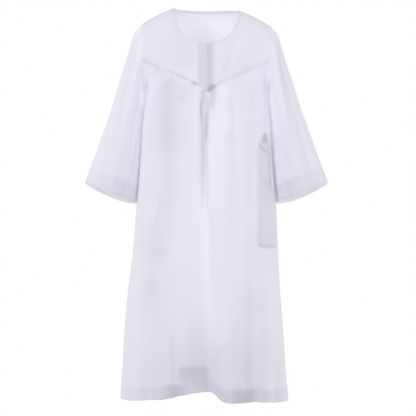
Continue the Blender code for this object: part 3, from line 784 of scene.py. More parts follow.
def lengths_along(points: Array, axis: int) -> Array:
    """Distance run along one axis of a grid of points: the running sum of its steps.

    Args:
        points: Grid of points.
        axis: 0 down the rows, 1 across the columns.

    Returns:
        The distance at each point, starting at 0.
    """
    steps = np.linalg.norm(np.diff(points, axis=axis), axis=-1)
    start = np.zeros_like(steps[:1] if axis == 0 else steps[:, :1])
    return np.concatenate([start, np.cumsum(steps, axis=axis)], axis=axis)


def panel_weave(points: Array) -> Array:
    """Weave coordinates of an open panel: the distances along its rows and columns."""
    return np.stack([lengths_along(points, 1), lengths_along(points, 0)], axis=-1)


@dataclass(frozen=True)
class FoldedEdge:
    """A hem turned up inside: a half round at the edge, then the inner layer up to its stitching."""

    radius: float = 0.0008
    height: float = 0.045
    steps: int = 4
    rows: int = 10

    def profile(self) -> tuple[Array, Array]:
        """The turn-up's rows past the edge: a half round, then straight up.

        Returns:
            Rise above the edge and distance inside it, for each row.
        """
        angle = np.linspace(0, HALF_TURN, self.steps + 1)[1:]
        rise = np.concatenate([-self.radius * np.sin(angle), np.linspace(0, self.height, self.rows + 1)[1:]])
        inward = np.concatenate([self.radius * (1 - np.cos(angle)), np.full(self.rows, 2 * self.radius)])
        return rise, inward


@dataclass(frozen=True)
class Wiring:
    """A node tree, with short ways to add nodes and to join them."""

    tree: bpy.types.NodeTree

    def add(self, kind: str, inputs: dict | None = None, **settings: object) -> bpy.types.Node:
        """A new shader node.

        Args:
            kind: Its type, without the prefix that all shader nodes share.
            inputs: Plain values for its inputs, by name or number.
            settings: Its own settings, which come before the values.

        Returns:
            The node.
        """
        node = self.tree.nodes.new(f"ShaderNode{kind}")
        for name, value in settings.items():
            setattr(node, name, value)
        for name, value in (inputs or {}).items():
            node.inputs[name].default_value = value
        return node

    def join(self, start: bpy.types.Node, output: str | int, end: bpy.types.Node, entry: str | int) -> None:
        """Link one node's output to another's input."""
        self.tree.links.new(start.outputs[output], end.inputs[entry])


def new_material(name: str, values: dict[str, float]) -> tuple[bpy.types.Material, Wiring, bpy.types.Node]:
    """A material with plain values on its shader.

    Args:
        name: Name of the material.
        values: The shader's values by input name.

    Returns:
        The material, its wiring and its shader.
    """
    made = bpy.data.materials.new(name)
    made.use_nodes = True
    shader = made.node_tree.nodes["Principled BSDF"]
    for label, value in values.items():
        shader.inputs[label].default_value = value
    return made, Wiring(made.node_tree), shader


@dataclass(frozen=True)
class WeaveFinish:
    """A cloth finish: one layer's colour, the colour that more cloth behind and painted shade darken it
    toward, and its weave.

    A faint glow of the same colour stands for the light that passes through the thin
    cloth. It is stronger where the mesh says so, and inner faces have one of their own.
    """

    name: str
    colour: tuple[float, float, float]
    doubled_and_shaded: tuple[float, float, float] = (0.46, 0.44, 0.52)
    roughness: float = 0.85
    sheen: float = 0.50
    sheen_roughness: float = 0.6
    specular: float = 0.15
    thread: float = 0.0009
    relief: float = 0.00006
    relief_strength: float = 0.6
    slub: float = 0.03
    passing: float = 0.12
    inside: tuple[float, float, float] = (0.203, 0.205, 0.190)
    thin: tuple[float, float, float] = (0.84, 0.835, 0.80)

    @cache
    def material(self) -> bpy.types.Material:
        """The finish as a material: colour darkened by the cloth behind and by painted shade, with slubs and
        a plain weave's relief.

        Returns:
            The material, made once.
        """
        values = {"Roughness": self.roughness, "Sheen Weight": self.sheen, "Emission Strength": 1.0}
        values.update({"Sheen Roughness": self.sheen_roughness, "Specular IOR Level": self.specular})
        made, wires, shader = new_material(self.name, values)
        surface = wires.add("UVMap", uv_map="weave")
        # Darkening for the cloth behind and for painted shade.
        behind = wires.add("Attribute", attribute_name="layers")
        through = wires.add("Attribute", attribute_name="glow")
        seen = wires.add("NewGeometry")
        colours = {"Colour": (*self.colour, 1), "Doubled And Shaded Colour": (*self.doubled_and_shaded, 1), "Slub": self.slub}
        layered_and_shaded = wires.add("Group", colours, node_tree=layered_and_shaded_colour_group())
        weave = wires.add("Group", {"Threads Per Metre": 1 / self.thread}, node_tree=plain_weave_group())
        relief = wires.add("Bump", {"Distance": self.relief, "Strength": self.relief_strength})
        outside = wires.add("Mix", {"Factor": self.passing, "A": (0, 0, 0, 1)}, data_type="RGBA")
        thin = wires.add("Mix", {"B": (*self.thin, 1)}, data_type="RGBA", blend_type="ADD")
        passed = wires.add("Mix", {"B": (*self.inside, 1)}, data_type="RGBA")
        wires.join(surface, "UV", layered_and_shaded, "Vector")
        wires.join(surface, "UV", weave, "Vector")
        wires.join(behind, "Fac", layered_and_shaded, "Layers")
        wires.join(layered_and_shaded, "Colour", shader, "Base Color")
        wires.join(layered_and_shaded, "Colour", outside, "B")
        wires.join(through, "Fac", thin, "Factor")
        wires.join(outside, "Result", thin, "A")
        wires.join(seen, "Backfacing", passed, "Factor")
        wires.join(thin, "Result", passed, "A")
        wires.join(passed, "Result", shader, "Emission Color")
        wires.join(weave, "Height", relief, "Height")
        wires.join(relief, "Normal", shader, "Normal")
        return made


@dataclass(frozen=True)
class ThreadFinish:
    """A twisted thread: two colours mixed by fine noise and by painted shade and light at its points, with a
    faint painted glow of its own colour.
    """

    name: str
    light: tuple[float, float, float]
    dark: tuple[float, float, float]
    scale: float = 900.0
    detail: float = 2.0
    noise_share: float = 0.30
    relief: float = 0.0002
    roughness: float = 0.7
    sheen: float = 0.2
    specular: float = 0.2
    passing: float = 0.22

    @cache
    def material(self) -> bpy.types.Material:
        """The finish as a material: fine noise mixes the two colours and raises fibres.

        Returns:
            The material, made once.
        """
        values = {"Roughness": self.roughness, "Sheen Weight": self.sheen}
        values.update({"Specular IOR Level": self.specular, "Emission Strength": self.passing})
        made, wires, shader = new_material(self.name, values)
        place = wires.add("TexCoord")
        fibres = wires.add("TexNoise", {"Scale": self.scale, "Detail": self.detail})
        # Painted shade and light at the thread's points.
        shade = wires.add("Attribute", attribute_name="lightness")
        factor = wires.add("Math", {1: self.noise_share}, operation="MULTIPLY_ADD", use_clamp=True)
        mix = wires.add("Mix", {"A": (*self.dark, 1), "B": (*self.light, 1)}, data_type="RGBA")
        relief = wires.add("Bump", {"Distance": self.relief})
        wires.join(place, "Object", fibres, "Vector")
        wires.join(fibres, "Fac", factor, 0)
        wires.join(shade, "Fac", factor, 2)
        wires.join(factor, 0, mix, "Factor")
        wires.join(mix, "Result", shader, "Base Color")
        wires.join(mix, "Result", shader, "Emission Color")
        wires.join(fibres, "Fac", relief, "Height")
        wires.join(relief, "Normal", shader, "Normal")
        return made


def new_group(name: str, inputs: dict[str, tuple[str, float | None]], output: tuple[str, str]) -> Wiring:
    """An empty node group with named sockets.

    Args:
        name: Name of the group.
        inputs: Socket type and plain value for each input name.
        output: Name and socket type of its output.

    Returns:
        The group's wiring, with its input node named In and its output node named Out.
    """
    tree = bpy.data.node_groups.new(name, "ShaderNodeTree")
    for label, (kind, value) in inputs.items():
        socket = tree.interface.new_socket(name=label, in_out="INPUT", socket_type=kind)
        if value is not None:
            socket.default_value = value
    tree.interface.new_socket(name=output[0], in_out="OUTPUT", socket_type=output[1])
    tree.nodes.new("NodeGroupInput").name = "In"
    tree.nodes.new("NodeGroupOutput").name = "Out"
    return Wiring(tree)


@cache
def plain_weave_group() -> bpy.types.NodeTree:
    """A plain weave: two crossed sine waves, one thread over and one under, as a height.

    Returns:
        The node group, made once.
    """
    inputs = {"Vector": ("NodeSocketVector", None), "Threads Per Metre": ("NodeSocketFloat", 1000.0)}
    wires = new_group("plain_weave", inputs, ("Height", "NodeSocketFloat"))
    entry, leave = wires.tree.nodes["In"], wires.tree.nodes["Out"]
    scaled = wires.add("VectorMath", operation="SCALE")
    parts = wires.add("SeparateXYZ")
    crossed = wires.add("Math", operation="MULTIPLY")
    wires.join(entry, "Vector", scaled, 0)
    wires.join(entry, "Threads Per Metre", scaled, "Scale")
    wires.join(scaled, "Vector", parts, "Vector")
    for number, axis in enumerate(("X", "Y")):
        turn = wires.add("Math", {1: HALF_TURN}, operation="MULTIPLY")
        wave = wires.add("Math", operation="SINE")
        wires.join(parts, axis, turn, 0)
        wires.join(turn, 0, wave, 0)
        wires.join(wave, 0, crossed, number)
    wires.join(crossed, 0, leave, "Height")
    return wires.tree


@cache
def layered_and_shaded_colour_group() -> bpy.types.NodeTree:
    """Colour of sheer cloth: darker where more cloth lies behind and where shade is painted on, with long
    faint slubs in the weave.

    Returns:
        The node group, made once.
    """
    inputs = {
        "Vector": ("NodeSocketVector", None),
        "Colour": ("NodeSocketColor", None),
        "Doubled And Shaded Colour": ("NodeSocketColor", None),
        "Layers": ("NodeSocketFloat", 0.0),
        "Slub": ("NodeSocketFloat", 0.03),
    }
    wires = new_group("layered_and_shaded_colour", inputs, ("Colour", "NodeSocketColor"))
    entry, leave = wires.tree.nodes["In"], wires.tree.nodes["Out"]
    stretched = wires.add("VectorMath", {1: (320.0, 26.0, 1.0)}, operation="MULTIPLY")
    slubs = wires.add("TexNoise", {"Scale": 1.0, "Detail": 3.0})
    centred = wires.add("Math", {1: 0.5}, operation="SUBTRACT")
    spread = wires.add("Math", operation="MULTIPLY_ADD")
    mix = wires.add("Mix", data_type="RGBA", clamp_factor=True)
    wires.join(entry, "Vector", stretched, 0)
    wires.join(stretched, "Vector", slubs, "Vector")
    wires.join(slubs, "Fac", centred, 0)
    wires.join(centred, 0, spread, 0)
    wires.join(entry, "Slub", spread, 1)
    wires.join(entry, "Layers", spread, 2)
    wires.join(spread, 0, mix, "Factor")
    wires.join(entry, "Colour", mix, "A")
    wires.join(entry, "Doubled And Shaded Colour", mix, "B")
    wires.join(mix, "Result", leave, "Colour")
    return wires.tree


# Painted shade at the V's point: a dark spot each side where the seams meet, partly their doubled cloth and
# partly painted shadow, and a painted shadow running down below the point.
POINT_MARKS = (
    Stroke(((0.003, -0.289), (0.016, -0.274), (0.029, -0.262)), 0.0064, 0.66, fade=0.28),
    Stroke(((-0.051, -0.253), (-0.029, -0.267)), 0.0072, 0.34, fade=0.25),
    Stroke(((0.020, -0.255), (0.017, -0.350)), 0.0120, 0.40, width_end=0.009, fade=0.25),
)


@dataclass
class Piece:
    """A piece of the robe with what it stands for, and the lines of its sewing."""

    shown: bpy.types.Object
    slot: Slot
    nodes: tuple[str, ...] = ()
    sewing: tuple[tuple[Array, Array], ...] = ()
    closed: bool = False

    def dress(self, finish: WeaveFinish | ThreadFinish) -> Piece:
        """Put the piece in its finish, on the robe's body and in place of its solids.

        Args:
            finish: What it is made of.

        Returns:
            The piece itself.
        """
        self.shown.data.materials.append(finish.material())
        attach(self.shown, "root")
        if self.nodes:
            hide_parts(*self.nodes)
        return self


def summed(strokes: tuple[Stroke | Patch, ...], a: Array, b: Array) -> Array:
    """Sum of the values of all the strokes and patches at each point."""
    return sum((stroke.value(a, b) for stroke in strokes), np.zeros(np.broadcast(a, b).shape))


@dataclass
class RobePart:
    """What each sub-assembly has: the robe's form and its own finish."""

    robe: RobeForm
    finish: WeaveFinish | ThreadFinish


@dataclass
class BodyPanel(RobePart):
    """What the front and the back below the shoulders share: rows to the hem and its turn-up."""

    columns: int
    rows: int
    hem: FoldedEdge = FoldedEdge()
    one_layer: float = 0.12
    hem_band: float = 0.15
    hem_stitch: float = 0.05
    hem_gathers_and_shade: tuple[tuple[float, float, float], ...] = ((0.115, 0.060, 0.26), (-0.100, 0.040, 0.24))
    seam_dip: float = 0.0012
    seam_reach: float = 0.006
    relax_reach: float = 0.035
    turned_glow: float = 0.12
    edge_glow: float = 0.15
    edge_reach: float = 0.11
    skirt_top: float = -0.60
    sleeve_glow: float = 0.145
    sleeve_reach: float = 0.034
    sleeve_span: tuple[float, float] = (-0.16, -0.66)
    underarm_glow: float = 0.12
    underarm_spot: tuple[float, float, float] = (-0.245, 0.050, 0.040)

    def cloth(self, theta: Array, top_z: Array, falls: Array, creases: tuple, marks: tuple) -> ClothGrid:
        """A panel from its top edge to the hem, then rolled over and up inside.

        Each row lies at its share of the way from the top edge to the hem. It is moved out
        along the body's outward vectors by its creases, and in by the dip at the side seams.

        Args:
            theta: Turns of the columns at each row.
            top_z: Height of the top edge at each column.
            falls: Share of the way down for each row.
            creases: Strokes over x and z that move the surface.
            marks: Strokes and patches over x and z where more cloth lies behind, and painted shade and
                highlights.

        Returns:
            The panel's grid.
        """
        robe = self.robe
        x_hem = robe.half_width(theta[-1], np.full_like(theta[-1], robe.hem_right_z)) * np.sin(theta[-1])
        hem_z = robe.hem_z(theta[-1], x_hem)
        z = top_z + (hem_z - top_z) * falls[:, None]
        rise, inward = self.hem.profile()
        z = np.concatenate([z, hem_z + rise[:, None]])
        theta = np.concatenate([theta, np.repeat(theta[-1:], len(rise), axis=0)])
        out = np.concatenate([np.zeros(len(falls)), -inward])[:, None]
        surface = robe.point(theta, z)
        x = surface[..., 0]
        from_side = np.abs(robe.half_width(theta, z) * np.cos(theta))
        calm = ease((robe.shoulder_z(x) - z) / 0.05)
        lift = summed(creases, x, z) * calm - self.seam_dip * bump(from_side, self.seam_reach)
        points = surface + robe.outward(theta, z) * (out + lift)[..., None]
        points[: len(falls), :, 1] = self.relaxed(points[: len(falls), :, 1], falls, from_side[: len(falls)])
        layers = self.one_layer + summed(marks, x, z) + self.hem_marks(x, z - hem_z)
        glow = self.light_through(z, from_side)
        layers[len(falls) :] = self.one_layer
        glow[len(falls) :] = self.turned_glow
        return ClothGrid(points, panel_weave(points), layers, glow)

    def light_through(self, z: Array, from_side: Array) -> Array:
        """More light passing: at the skirt's sides, beside the sleeves and at the underarms.

        Args:
            z: Heights.
            from_side: Distances from the side seam.

        Returns:
            The glow at each point.
        """
        top, end = self.sleeve_span
        beside_sleeve = ease((z - end) / 0.34) * ease((top - z) / 0.06)
        skirt = self.edge_glow * bump(from_side, self.edge_reach) * ease((self.skirt_top - z) / 0.08)
        sleeve = self.sleeve_glow * beside_sleeve * bump(from_side, self.sleeve_reach)
        height, across, upright = self.underarm_spot
        return skirt + sleeve + self.underarm_glow * bump(from_side, across) * bump(z - height, upright)

    def hem_row(self, grid: ClothGrid, rows: int) -> tuple[Array, Array]:
        """The line of the hem's stitching, at the turned-up edge's height over the hem."""
        height = grid.points[:rows, :, 2]
        return grid.line(height - height[-1], self.robe.turn_up)

    def relaxed(self, depth: Array, falls: Array, from_side: Array) -> Array:
        """The cloth's depth evened out down each column below the underarm, as cloth hangs.

        Each row takes the mean of the rows near it, weighed by exp(-(distance / reach)²).
        The edges and the strip beside the side seams keep their depth.

        Args:
            depth: Depth at each point.
            falls: Share of the way down for each row.
            from_side: Distance from the side seam at each point.

        Returns:
            The new depths.
        """
        down = falls * -self.robe.hem_right_z
        weights = bump(down[:, None] - down[None, :], self.relax_reach) * np.gradient(down)[None, :]
        even = weights @ depth / weights.sum(axis=1, keepdims=True)
        free = ease(from_side / 0.07) * (ease(falls / 0.04) * ease((1 - falls) / 0.06))[:, None]
        return depth + (even - depth) * free

    def hem_marks(self, x: Array, from_hem: Array) -> Array:
        """The turned-up band that shows along the hem, darker where folds gather it: partly the gathered
        cloth, partly painted fold shade.

        Args:
            x: Places across.
            from_hem: Heights over the hem line.

        Returns:
            The band's layers.
        """
        uneven = 1 + 0.20 * np.sin(x * 61 + 1.0) + 0.12 * np.sin(x * 143)
        # Where folds gather the hem: more cloth, and painted fold shade.
        fold_layers_and_shade = sum(share * bump(x - place, width) for place, width, share in self.hem_gathers_and_shade)
        edge = self.robe.turn_up - 0.006 + 0.0025 * np.sin(x * 88)
        band = ease((edge - from_hem) / 0.024 + 0.5) * (self.hem_band * uneven + fold_layers_and_shade)
        return band + self.hem_stitch * uneven * bump(from_hem - edge, 0.004)


@dataclass
class FrontPanel(BodyPanel):
    """The front from the V seam down, with its folds, its hem and the pockets that show through."""

    columns: int = 281
    rows: int = 300
    under_seam: float = 0.006
    tuck: float = 0.0016
    seam_shade: float = 0.16
    point_shade: float = 0.22
    fold_turn: float = 0.21
    fold_crowd: float = 0.30
    creases: tuple[Stroke, ...] = (
        Stroke(((0.010, -0.292), (0.012, -0.352)), 0.010, -0.0030),
        Stroke(((0.064, -0.270), (0.062, -0.440)), 0.018, 0.0035),
        Stroke(((-0.190, -0.205), (-0.182, -0.350)), 0.012, 0.0025),
        Stroke(((-0.120, -0.330), (-0.137, -0.480), (-0.128, -0.630)), 0.022, -0.0040),
        Stroke(((-0.138, -0.620), (-0.157, -0.744), (-0.190, -0.800)), 0.014, -0.0050, lean=1.7),
        Stroke(((-0.195, -0.895), (-0.176, -0.965)), 0.012, -0.0030),
        Stroke(((-0.178, -0.935), (-0.212, -1.050)), 0.012, 0.0035),
        Stroke(((-0.060, -0.760), (-0.075, -1.000)), 0.020, 0.0020),
        Stroke(((-0.036, -1.020), (-0.034, -1.180)), 0.016, -0.0040),
        Stroke(((-0.101, -1.020), (-0.098, -1.260)), 0.012, -0.0035, fade=0.35),
        Stroke(((0.105, -0.560), (0.098, -0.860)), 0.018, -0.0025),
        Stroke(((0.110, -0.880), (0.100, -1.150)), 0.016, -0.0028, lean=1.5),
        Stroke(((0.195, -0.860), (0.206, -1.190)), 0.014, 0.0016),
        Stroke(((0.030, -0.450), (0.036, -0.760)), 0.016, -0.0016),
        Stroke(((-0.060, -0.330), (-0.070, -0.560)), 0.018, 0.0022),
        Stroke(((0.180, -0.260), (0.150, -0.330)), 0.012, -0.0025),
        Stroke(((-0.196, -0.262), (-0.160, -0.330)), 0.010, -0.0020),
    )
    # The pocket bags with their edges and openings show through the cloth. The rest is painted shade down
    # folds and hollows, over the lower skirt and in the hem's deep fold, painted shadow at the right underarm
    # and beside the right sleeve, and painted highlights along ridges where the strength is under 0.
    marks: tuple = (
        *POINT_MARKS,
        Patch((-0.225, -1.420), (0.200, -1.080), 0.21, corner=0.06, edge=0.090),
        Patch((0.110, -1.420), (0.198, -0.940), 0.10, corner=0.03, edge=0.050),
        Stroke(((-0.006, -0.640), (0.012, -1.060), (0.018, -1.180)), 0.017, -0.14),
        Stroke(((0.002, -0.400), (-0.012, -0.760)), 0.022, -0.07, fade=0.25),
        Stroke(((-0.032, -0.285), (-0.031, -0.500)), 0.0045, -0.14, fade=0.25),
        Stroke(((-0.156, -0.660), (-0.194, -0.850)), 0.024, 0.09, fade=0.35),
        Stroke(((-0.178, -0.860), (-0.210, -1.040)), 0.024, 0.08, fade=0.35),
        Stroke(((0.216, -0.840), (0.226, -1.200)), 0.014, -0.08, fade=0.2),
        Stroke(((0.040, -0.310), (0.012, -0.560), (-0.004, -0.720)), 0.028, -0.08),
        Stroke(
            ((-0.140, -0.230), (-0.128, -0.420), (-0.128, -0.600), (-0.160, -0.850)),
            0.040,
            0.16,
            fade=0.10,
        ),
        Stroke(((-0.114, -0.225), (-0.110, -0.520)), 0.075, 0.11, fade=0.30),
        Stroke(((-0.170, -0.200), (-0.115, -0.265)), 0.032, 0.14, fade=0.15),
        Stroke(((-0.135, -0.240), (-0.045, -0.300)), 0.032, 0.13, fade=0.2),
        Stroke(((0.060, -0.250), (0.066, -0.430)), 0.024, -0.06, fade=0.2),
        Stroke(((-0.180, -0.740), (-0.160, -0.960), (-0.160, -1.120)), 0.056, 0.13, fade=0.3),
        Stroke(((0.156, -0.700), (0.156, -1.040)), 0.030, 0.10, fade=0.2),
        Stroke(((0.098, -0.880), (0.096, -1.180)), 0.034, 0.05, fade=0.3),
        Stroke(((-0.026, -0.940), (-0.034, -1.230)), 0.036, 0.08, fade=0.3),
        Patch((0.164, -0.784), (0.300, -0.445), 0.20, corner=0.022, edge=0.007, rim=0.06),
        Stroke(((0.166, -0.770), (0.180, -0.782), (0.230, -0.783)), 0.006, 0.28, fade=0.1),
        Patch((-0.300, -0.792), (-0.202, -0.640), 0.07, corner=0.015, edge=0.006, rim=0.03),
        Stroke(((0.168, -0.530), (0.178, -0.556), (0.192, -0.578), (0.210, -0.590)), 0.003, 0.14, fade=0.2),
        Stroke(((0.182, -0.694), (0.196, -0.690), (0.206, -0.698)), 0.003, 0.12, fade=0.3),
        Stroke(((0.168, -0.448), (0.180, -0.468), (0.205, -0.480)), 0.0040, 0.45, fade=0.2),
        Stroke(((0.190, -0.412), (0.190, -0.452)), 0.006, 0.66, width_end=0.016, fade=0.25),
        Stroke(((0.203, -0.448), (0.208, -0.610)), 0.0045, 0.30, fade=0.12),
        Patch((-0.090, -1.216), (0.008, -1.166), 0.28, corner=0.016, edge=0.010),
        Patch((-0.048, -1.238), (0.006, -1.216), 0.12, corner=0.008, edge=0.006),
    )

    def build(self) -> Piece:
        """The front as one sheet, its columns crowded toward the deep fold at the hem.

        Returns:
            The dressed panel, with its hem's stitching.
        """
        robe = self.robe
        turns = np.linspace(-QUARTER_TURN, QUARTER_TURN, self.columns)
        crowded = turns - self.fold_crowd * np.sin(2 * (turns - self.fold_turn)) * np.cos(turns) ** 2
        share = np.linspace(0, 1, self.rows)
        theta = turns + (crowded - turns) * ease(share)[:, None]
        seam_z = robe.yoke_seam_z(robe.armhole_x * np.sin(turns))
        grid = self.cloth(theta, seam_z + self.under_seam, share, self.creases, self.marks)
        below = seam_z[None, :] - grid.points[..., 2]
        tuck = ease(0.5 - below / (2 * self.under_seam)) * self.tuck
        grid.points[..., 1] = grid.points[..., 1] + tuck
        seam = robe.seam_layers(grid.points[..., 0], below, self.seam_shade, self.point_shade)
        grid.layers = grid.layers + seam
        sewing = (self.hem_row(grid, self.rows),)
        return Piece(grid.build("front_cloth"), Slot.BODY, ("front_panel",), sewing).dress(self.finish)


@dataclass
class BackPanel(BodyPanel):
    """The whole back from the shoulder line and the neck to the hem."""

    columns: int = 241
    rows: int = 280
    sleeve_glow: float = 0.06
    underarm_glow: float = 0.02
    creases: tuple[Stroke, ...] = (
        Stroke(((-0.010, -0.060), (-0.020, -0.300)), 0.022, -0.0037),
        Stroke(((0.060, -0.080), (0.040, -0.420)), 0.024, 0.0045),
        Stroke(((-0.090, -0.100), (-0.070, -0.460)), 0.022, -0.0045),
        Stroke(((0.130, -0.120), (0.110, -0.360)), 0.020, -0.0045),
        Stroke(((-0.150, -0.140), (-0.135, -0.380)), 0.018, 0.0042),
        Stroke(((0.190, -0.270), (0.140, -0.400)), 0.016, -0.0060, lean=1.6),
        Stroke(((-0.190, -0.275), (-0.150, -0.420)), 0.016, -0.0060),
        Stroke(((0.020, -0.420), (0.045, -0.900)), 0.024, -0.0053),
        Stroke(((-0.040, -0.500), (-0.060, -1.000)), 0.022, 0.0053),
        Stroke(((0.120, -0.480), (0.140, -0.860)), 0.020, 0.0053),
        Stroke(((-0.120, -0.560), (-0.140, -0.980)), 0.022, -0.0060),
        Stroke(((0.080, -0.860), (0.095, -1.240)), 0.020, 0.0075),
        Stroke(((-0.095, -0.920), (-0.105, -1.250)), 0.020, 0.0067),
        Stroke(((0.180, -0.800), (0.210, -1.200)), 0.018, -0.0067),
        Stroke(((-0.190, -0.840), (-0.225, -1.180)), 0.018, -0.0060),
        Stroke(((0.020, -1.020), (0.015, -1.260)), 0.020, -0.0075),
    )
    # The pocket bags show through the cloth. The rest is painted shade down folds and over the lower skirt,
    # and a painted highlight where the strength is under 0.
    marks: tuple = (
        Patch((-0.210, -1.420), (0.190, -1.080), 0.18, corner=0.06, edge=0.090),
        Stroke(((-0.120, -0.180), (-0.136, -0.560), (-0.126, -0.920)), 0.044, 0.18, fade=0.2),
        Stroke(((0.092, -0.420), (0.112, -0.820), (0.104, -1.180)), 0.044, 0.18, fade=0.2),
        Stroke(((0.060, -0.080), (0.040, -0.420)), 0.030, 0.12, fade=0.25),
        Stroke(((0.010, -0.300), (-0.012, -0.900)), 0.030, -0.10, fade=0.2),
        Stroke(((-0.040, -0.900), (-0.052, -1.230)), 0.026, 0.16, fade=0.2),
        Patch((-0.300, -0.790), (-0.152, -0.477), 0.14, corner=0.028, edge=0.007, rim=0.04),
        Patch((0.228, -0.784), (0.300, -0.445), 0.16, corner=0.010, edge=0.007, rim=0.04),
    )

    def build(self) -> Piece:
        """The back as one sheet, its rows close together where it rounds over the shoulders.

        Returns:
            The dressed panel, with its hem's stitching.
        """
        robe = self.robe
        sweep = np.linspace(-QUARTER_TURN, QUARTER_TURN, self.columns)
        top_x = robe.armhole_x * np.sin(sweep)
        over_neck = np.abs(top_x) < robe.neck_half_width
        phi = robe.neck_turn(top_x)
        neck_z = robe.neck_line(phi, np.zeros_like(phi), back=True)[1]
        top_z = np.where(over_neck, neck_z, robe.shoulder_z(top_x))
        falls = np.linspace(0, 1, self.rows)
        falls = np.where(falls < 0.5, 0.5 * (falls / 0.5) ** 1.9, falls)
        theta = np.broadcast_to(HALF_TURN - sweep, (self.rows, self.columns))
        grid = self.cloth(theta, top_z, falls, self.creases, self.marks)
        grid.flip = True
        sewing = (self.hem_row(grid, self.rows),)
        return Piece(grid.build("back_cloth"), Slot.BODY, ("back_panel",), sewing).dress(self.finish)


@dataclass
class SideYoke(RobePart):
    """One side of the V front yoke, from the shoulder line and neckline to the V seam."""

    side: Side
    columns: int = 150
    rows: int = 110
    shoulder_share: float = 0.36
    under_placket: float = 0.005
    seam: FoldedEdge = FoldedEdge(radius=0.0006, height=0.007, rows=2)
    two_layers: float = 0.17
    seam_shade: float = 0.20
    point_shade: float = 0.16
    seam_dip: float = 0.0008
    seam_reach: float = 0.005
    sewn_above: float = 0.0022
    left_creases: tuple[Stroke, ...] = (
        Stroke(((-0.190, -0.075), (-0.178, -0.170)), 0.012, 0.0022),
        Stroke(((-0.150, -0.050), (-0.120, -0.190)), 0.016, -0.0026),
        Stroke(((-0.095, -0.120), (-0.060, -0.230)), 0.014, 0.0022),
        Stroke(((-0.110, -0.030), (-0.105, -0.120)), 0.010, -0.0016),
    )
    right_creases: tuple[Stroke, ...] = (
        Stroke(((0.190, -0.080), (0.176, -0.170)), 0.012, -0.0020),
        Stroke(((0.140, -0.045), (0.105, -0.180)), 0.016, 0.0026),
        Stroke(((0.100, -0.110), (0.062, -0.240)), 0.014, -0.0024),
        Stroke(((0.060, -0.130), (0.045, -0.230)), 0.010, 0.0016),
    )
    # Painted shade over the left yoke, and a painted shadow line beside the placket's edge on the right yoke.
    left_marks: tuple = (Stroke(((-0.090, -0.030), (-0.060, -0.240)), 0.060, 0.10),)
    right_marks: tuple = (Stroke(((0.0225, -0.110), (0.0225, -0.262)), 0.0060, 0.26, fade=0.1),)

    def build(self) -> Piece:
        """The yoke as one sheet whose lower edge is folded under along the V seam.

        Returns:
            The dressed yoke, with its seam's stitching.
        """
        robe = self.robe
        sign = self.side.value
        closing = (-robe.placket_left if self.side is Side.LEFT else robe.placket_edge) - self.under_placket
        over_shoulder = round(self.columns * self.shoulder_share)
        shoulder_x = np.linspace(robe.armhole_x, robe.neck_half_width, over_shoulder + 1)[:-1]
        phi_end = float(robe.neck_turn(np.array(closing)))
        reach = np.linspace(0, 1, self.columns - over_shoulder) ** 1.5 * math.cos(phi_end)
        neck_x, neck_z = robe.neck_line(sign * np.arccos(reach), np.zeros_like(reach))
        top_x = np.concatenate([sign * shoulder_x, neck_x])
        top_z = np.concatenate([robe.shoulder_z(sign * shoulder_x), neck_z])
        t = np.linspace(0, 1, self.columns)
        start = math.asin(1.0)
        stop = math.asin(closing / robe.armhole_x)
        bottom_x = sign * robe.armhole_x * np.sin(start + (stop - start) * t)
        bottom_z = robe.yoke_seam_z(bottom_x)
        fade = np.clip((t - self.shoulder_share) / (1 - self.shoulder_share), 0, 1)
        crowd = 2.4 - 1.4 * fade**0.6
        share = np.linspace(0, 1, self.rows)[:, None] ** crowd[None, :]
        x = top_x + (bottom_x - top_x) * share
        z = top_z + (bottom_z - top_z) * share
        rise, inward = self.seam.profile()
        x = np.concatenate([x, np.repeat(bottom_x[None, :], len(rise), axis=0)])
        z = np.concatenate([z, bottom_z + rise[:, None]])
        out = np.concatenate([np.zeros(self.rows), -inward])[:, None]
        from_seam = z - robe.yoke_seam_z(x)
        creases = self.left_creases if self.side is Side.LEFT else self.right_creases
        marks = self.left_marks if self.side is Side.LEFT else self.right_marks
        calm = ease((robe.shoulder_z(x) - z) / 0.04)
        lift = summed(creases, x, z) * calm - self.seam_dip * bump(from_seam, self.seam_reach)
        points = robe.on_front(x, z, out + lift)
        layers = self.two_layers + summed((*marks, *POINT_MARKS), x, z)
        layers = layers + robe.seam_layers(x, from_seam, self.seam_shade, self.point_shade)
        grid = ClothGrid(points, panel_weave(points), layers, flip=self.side is Side.RIGHT)
        word = self.side.word
        sewing = (grid.line(from_seam[: self.rows], self.sewn_above),)
        piece = Piece(grid.build(f"yoke_{word}_cloth"), Slot.YOKE, (f"front_yoke_{word}",), sewing)
        return piece.dress(self.finish)


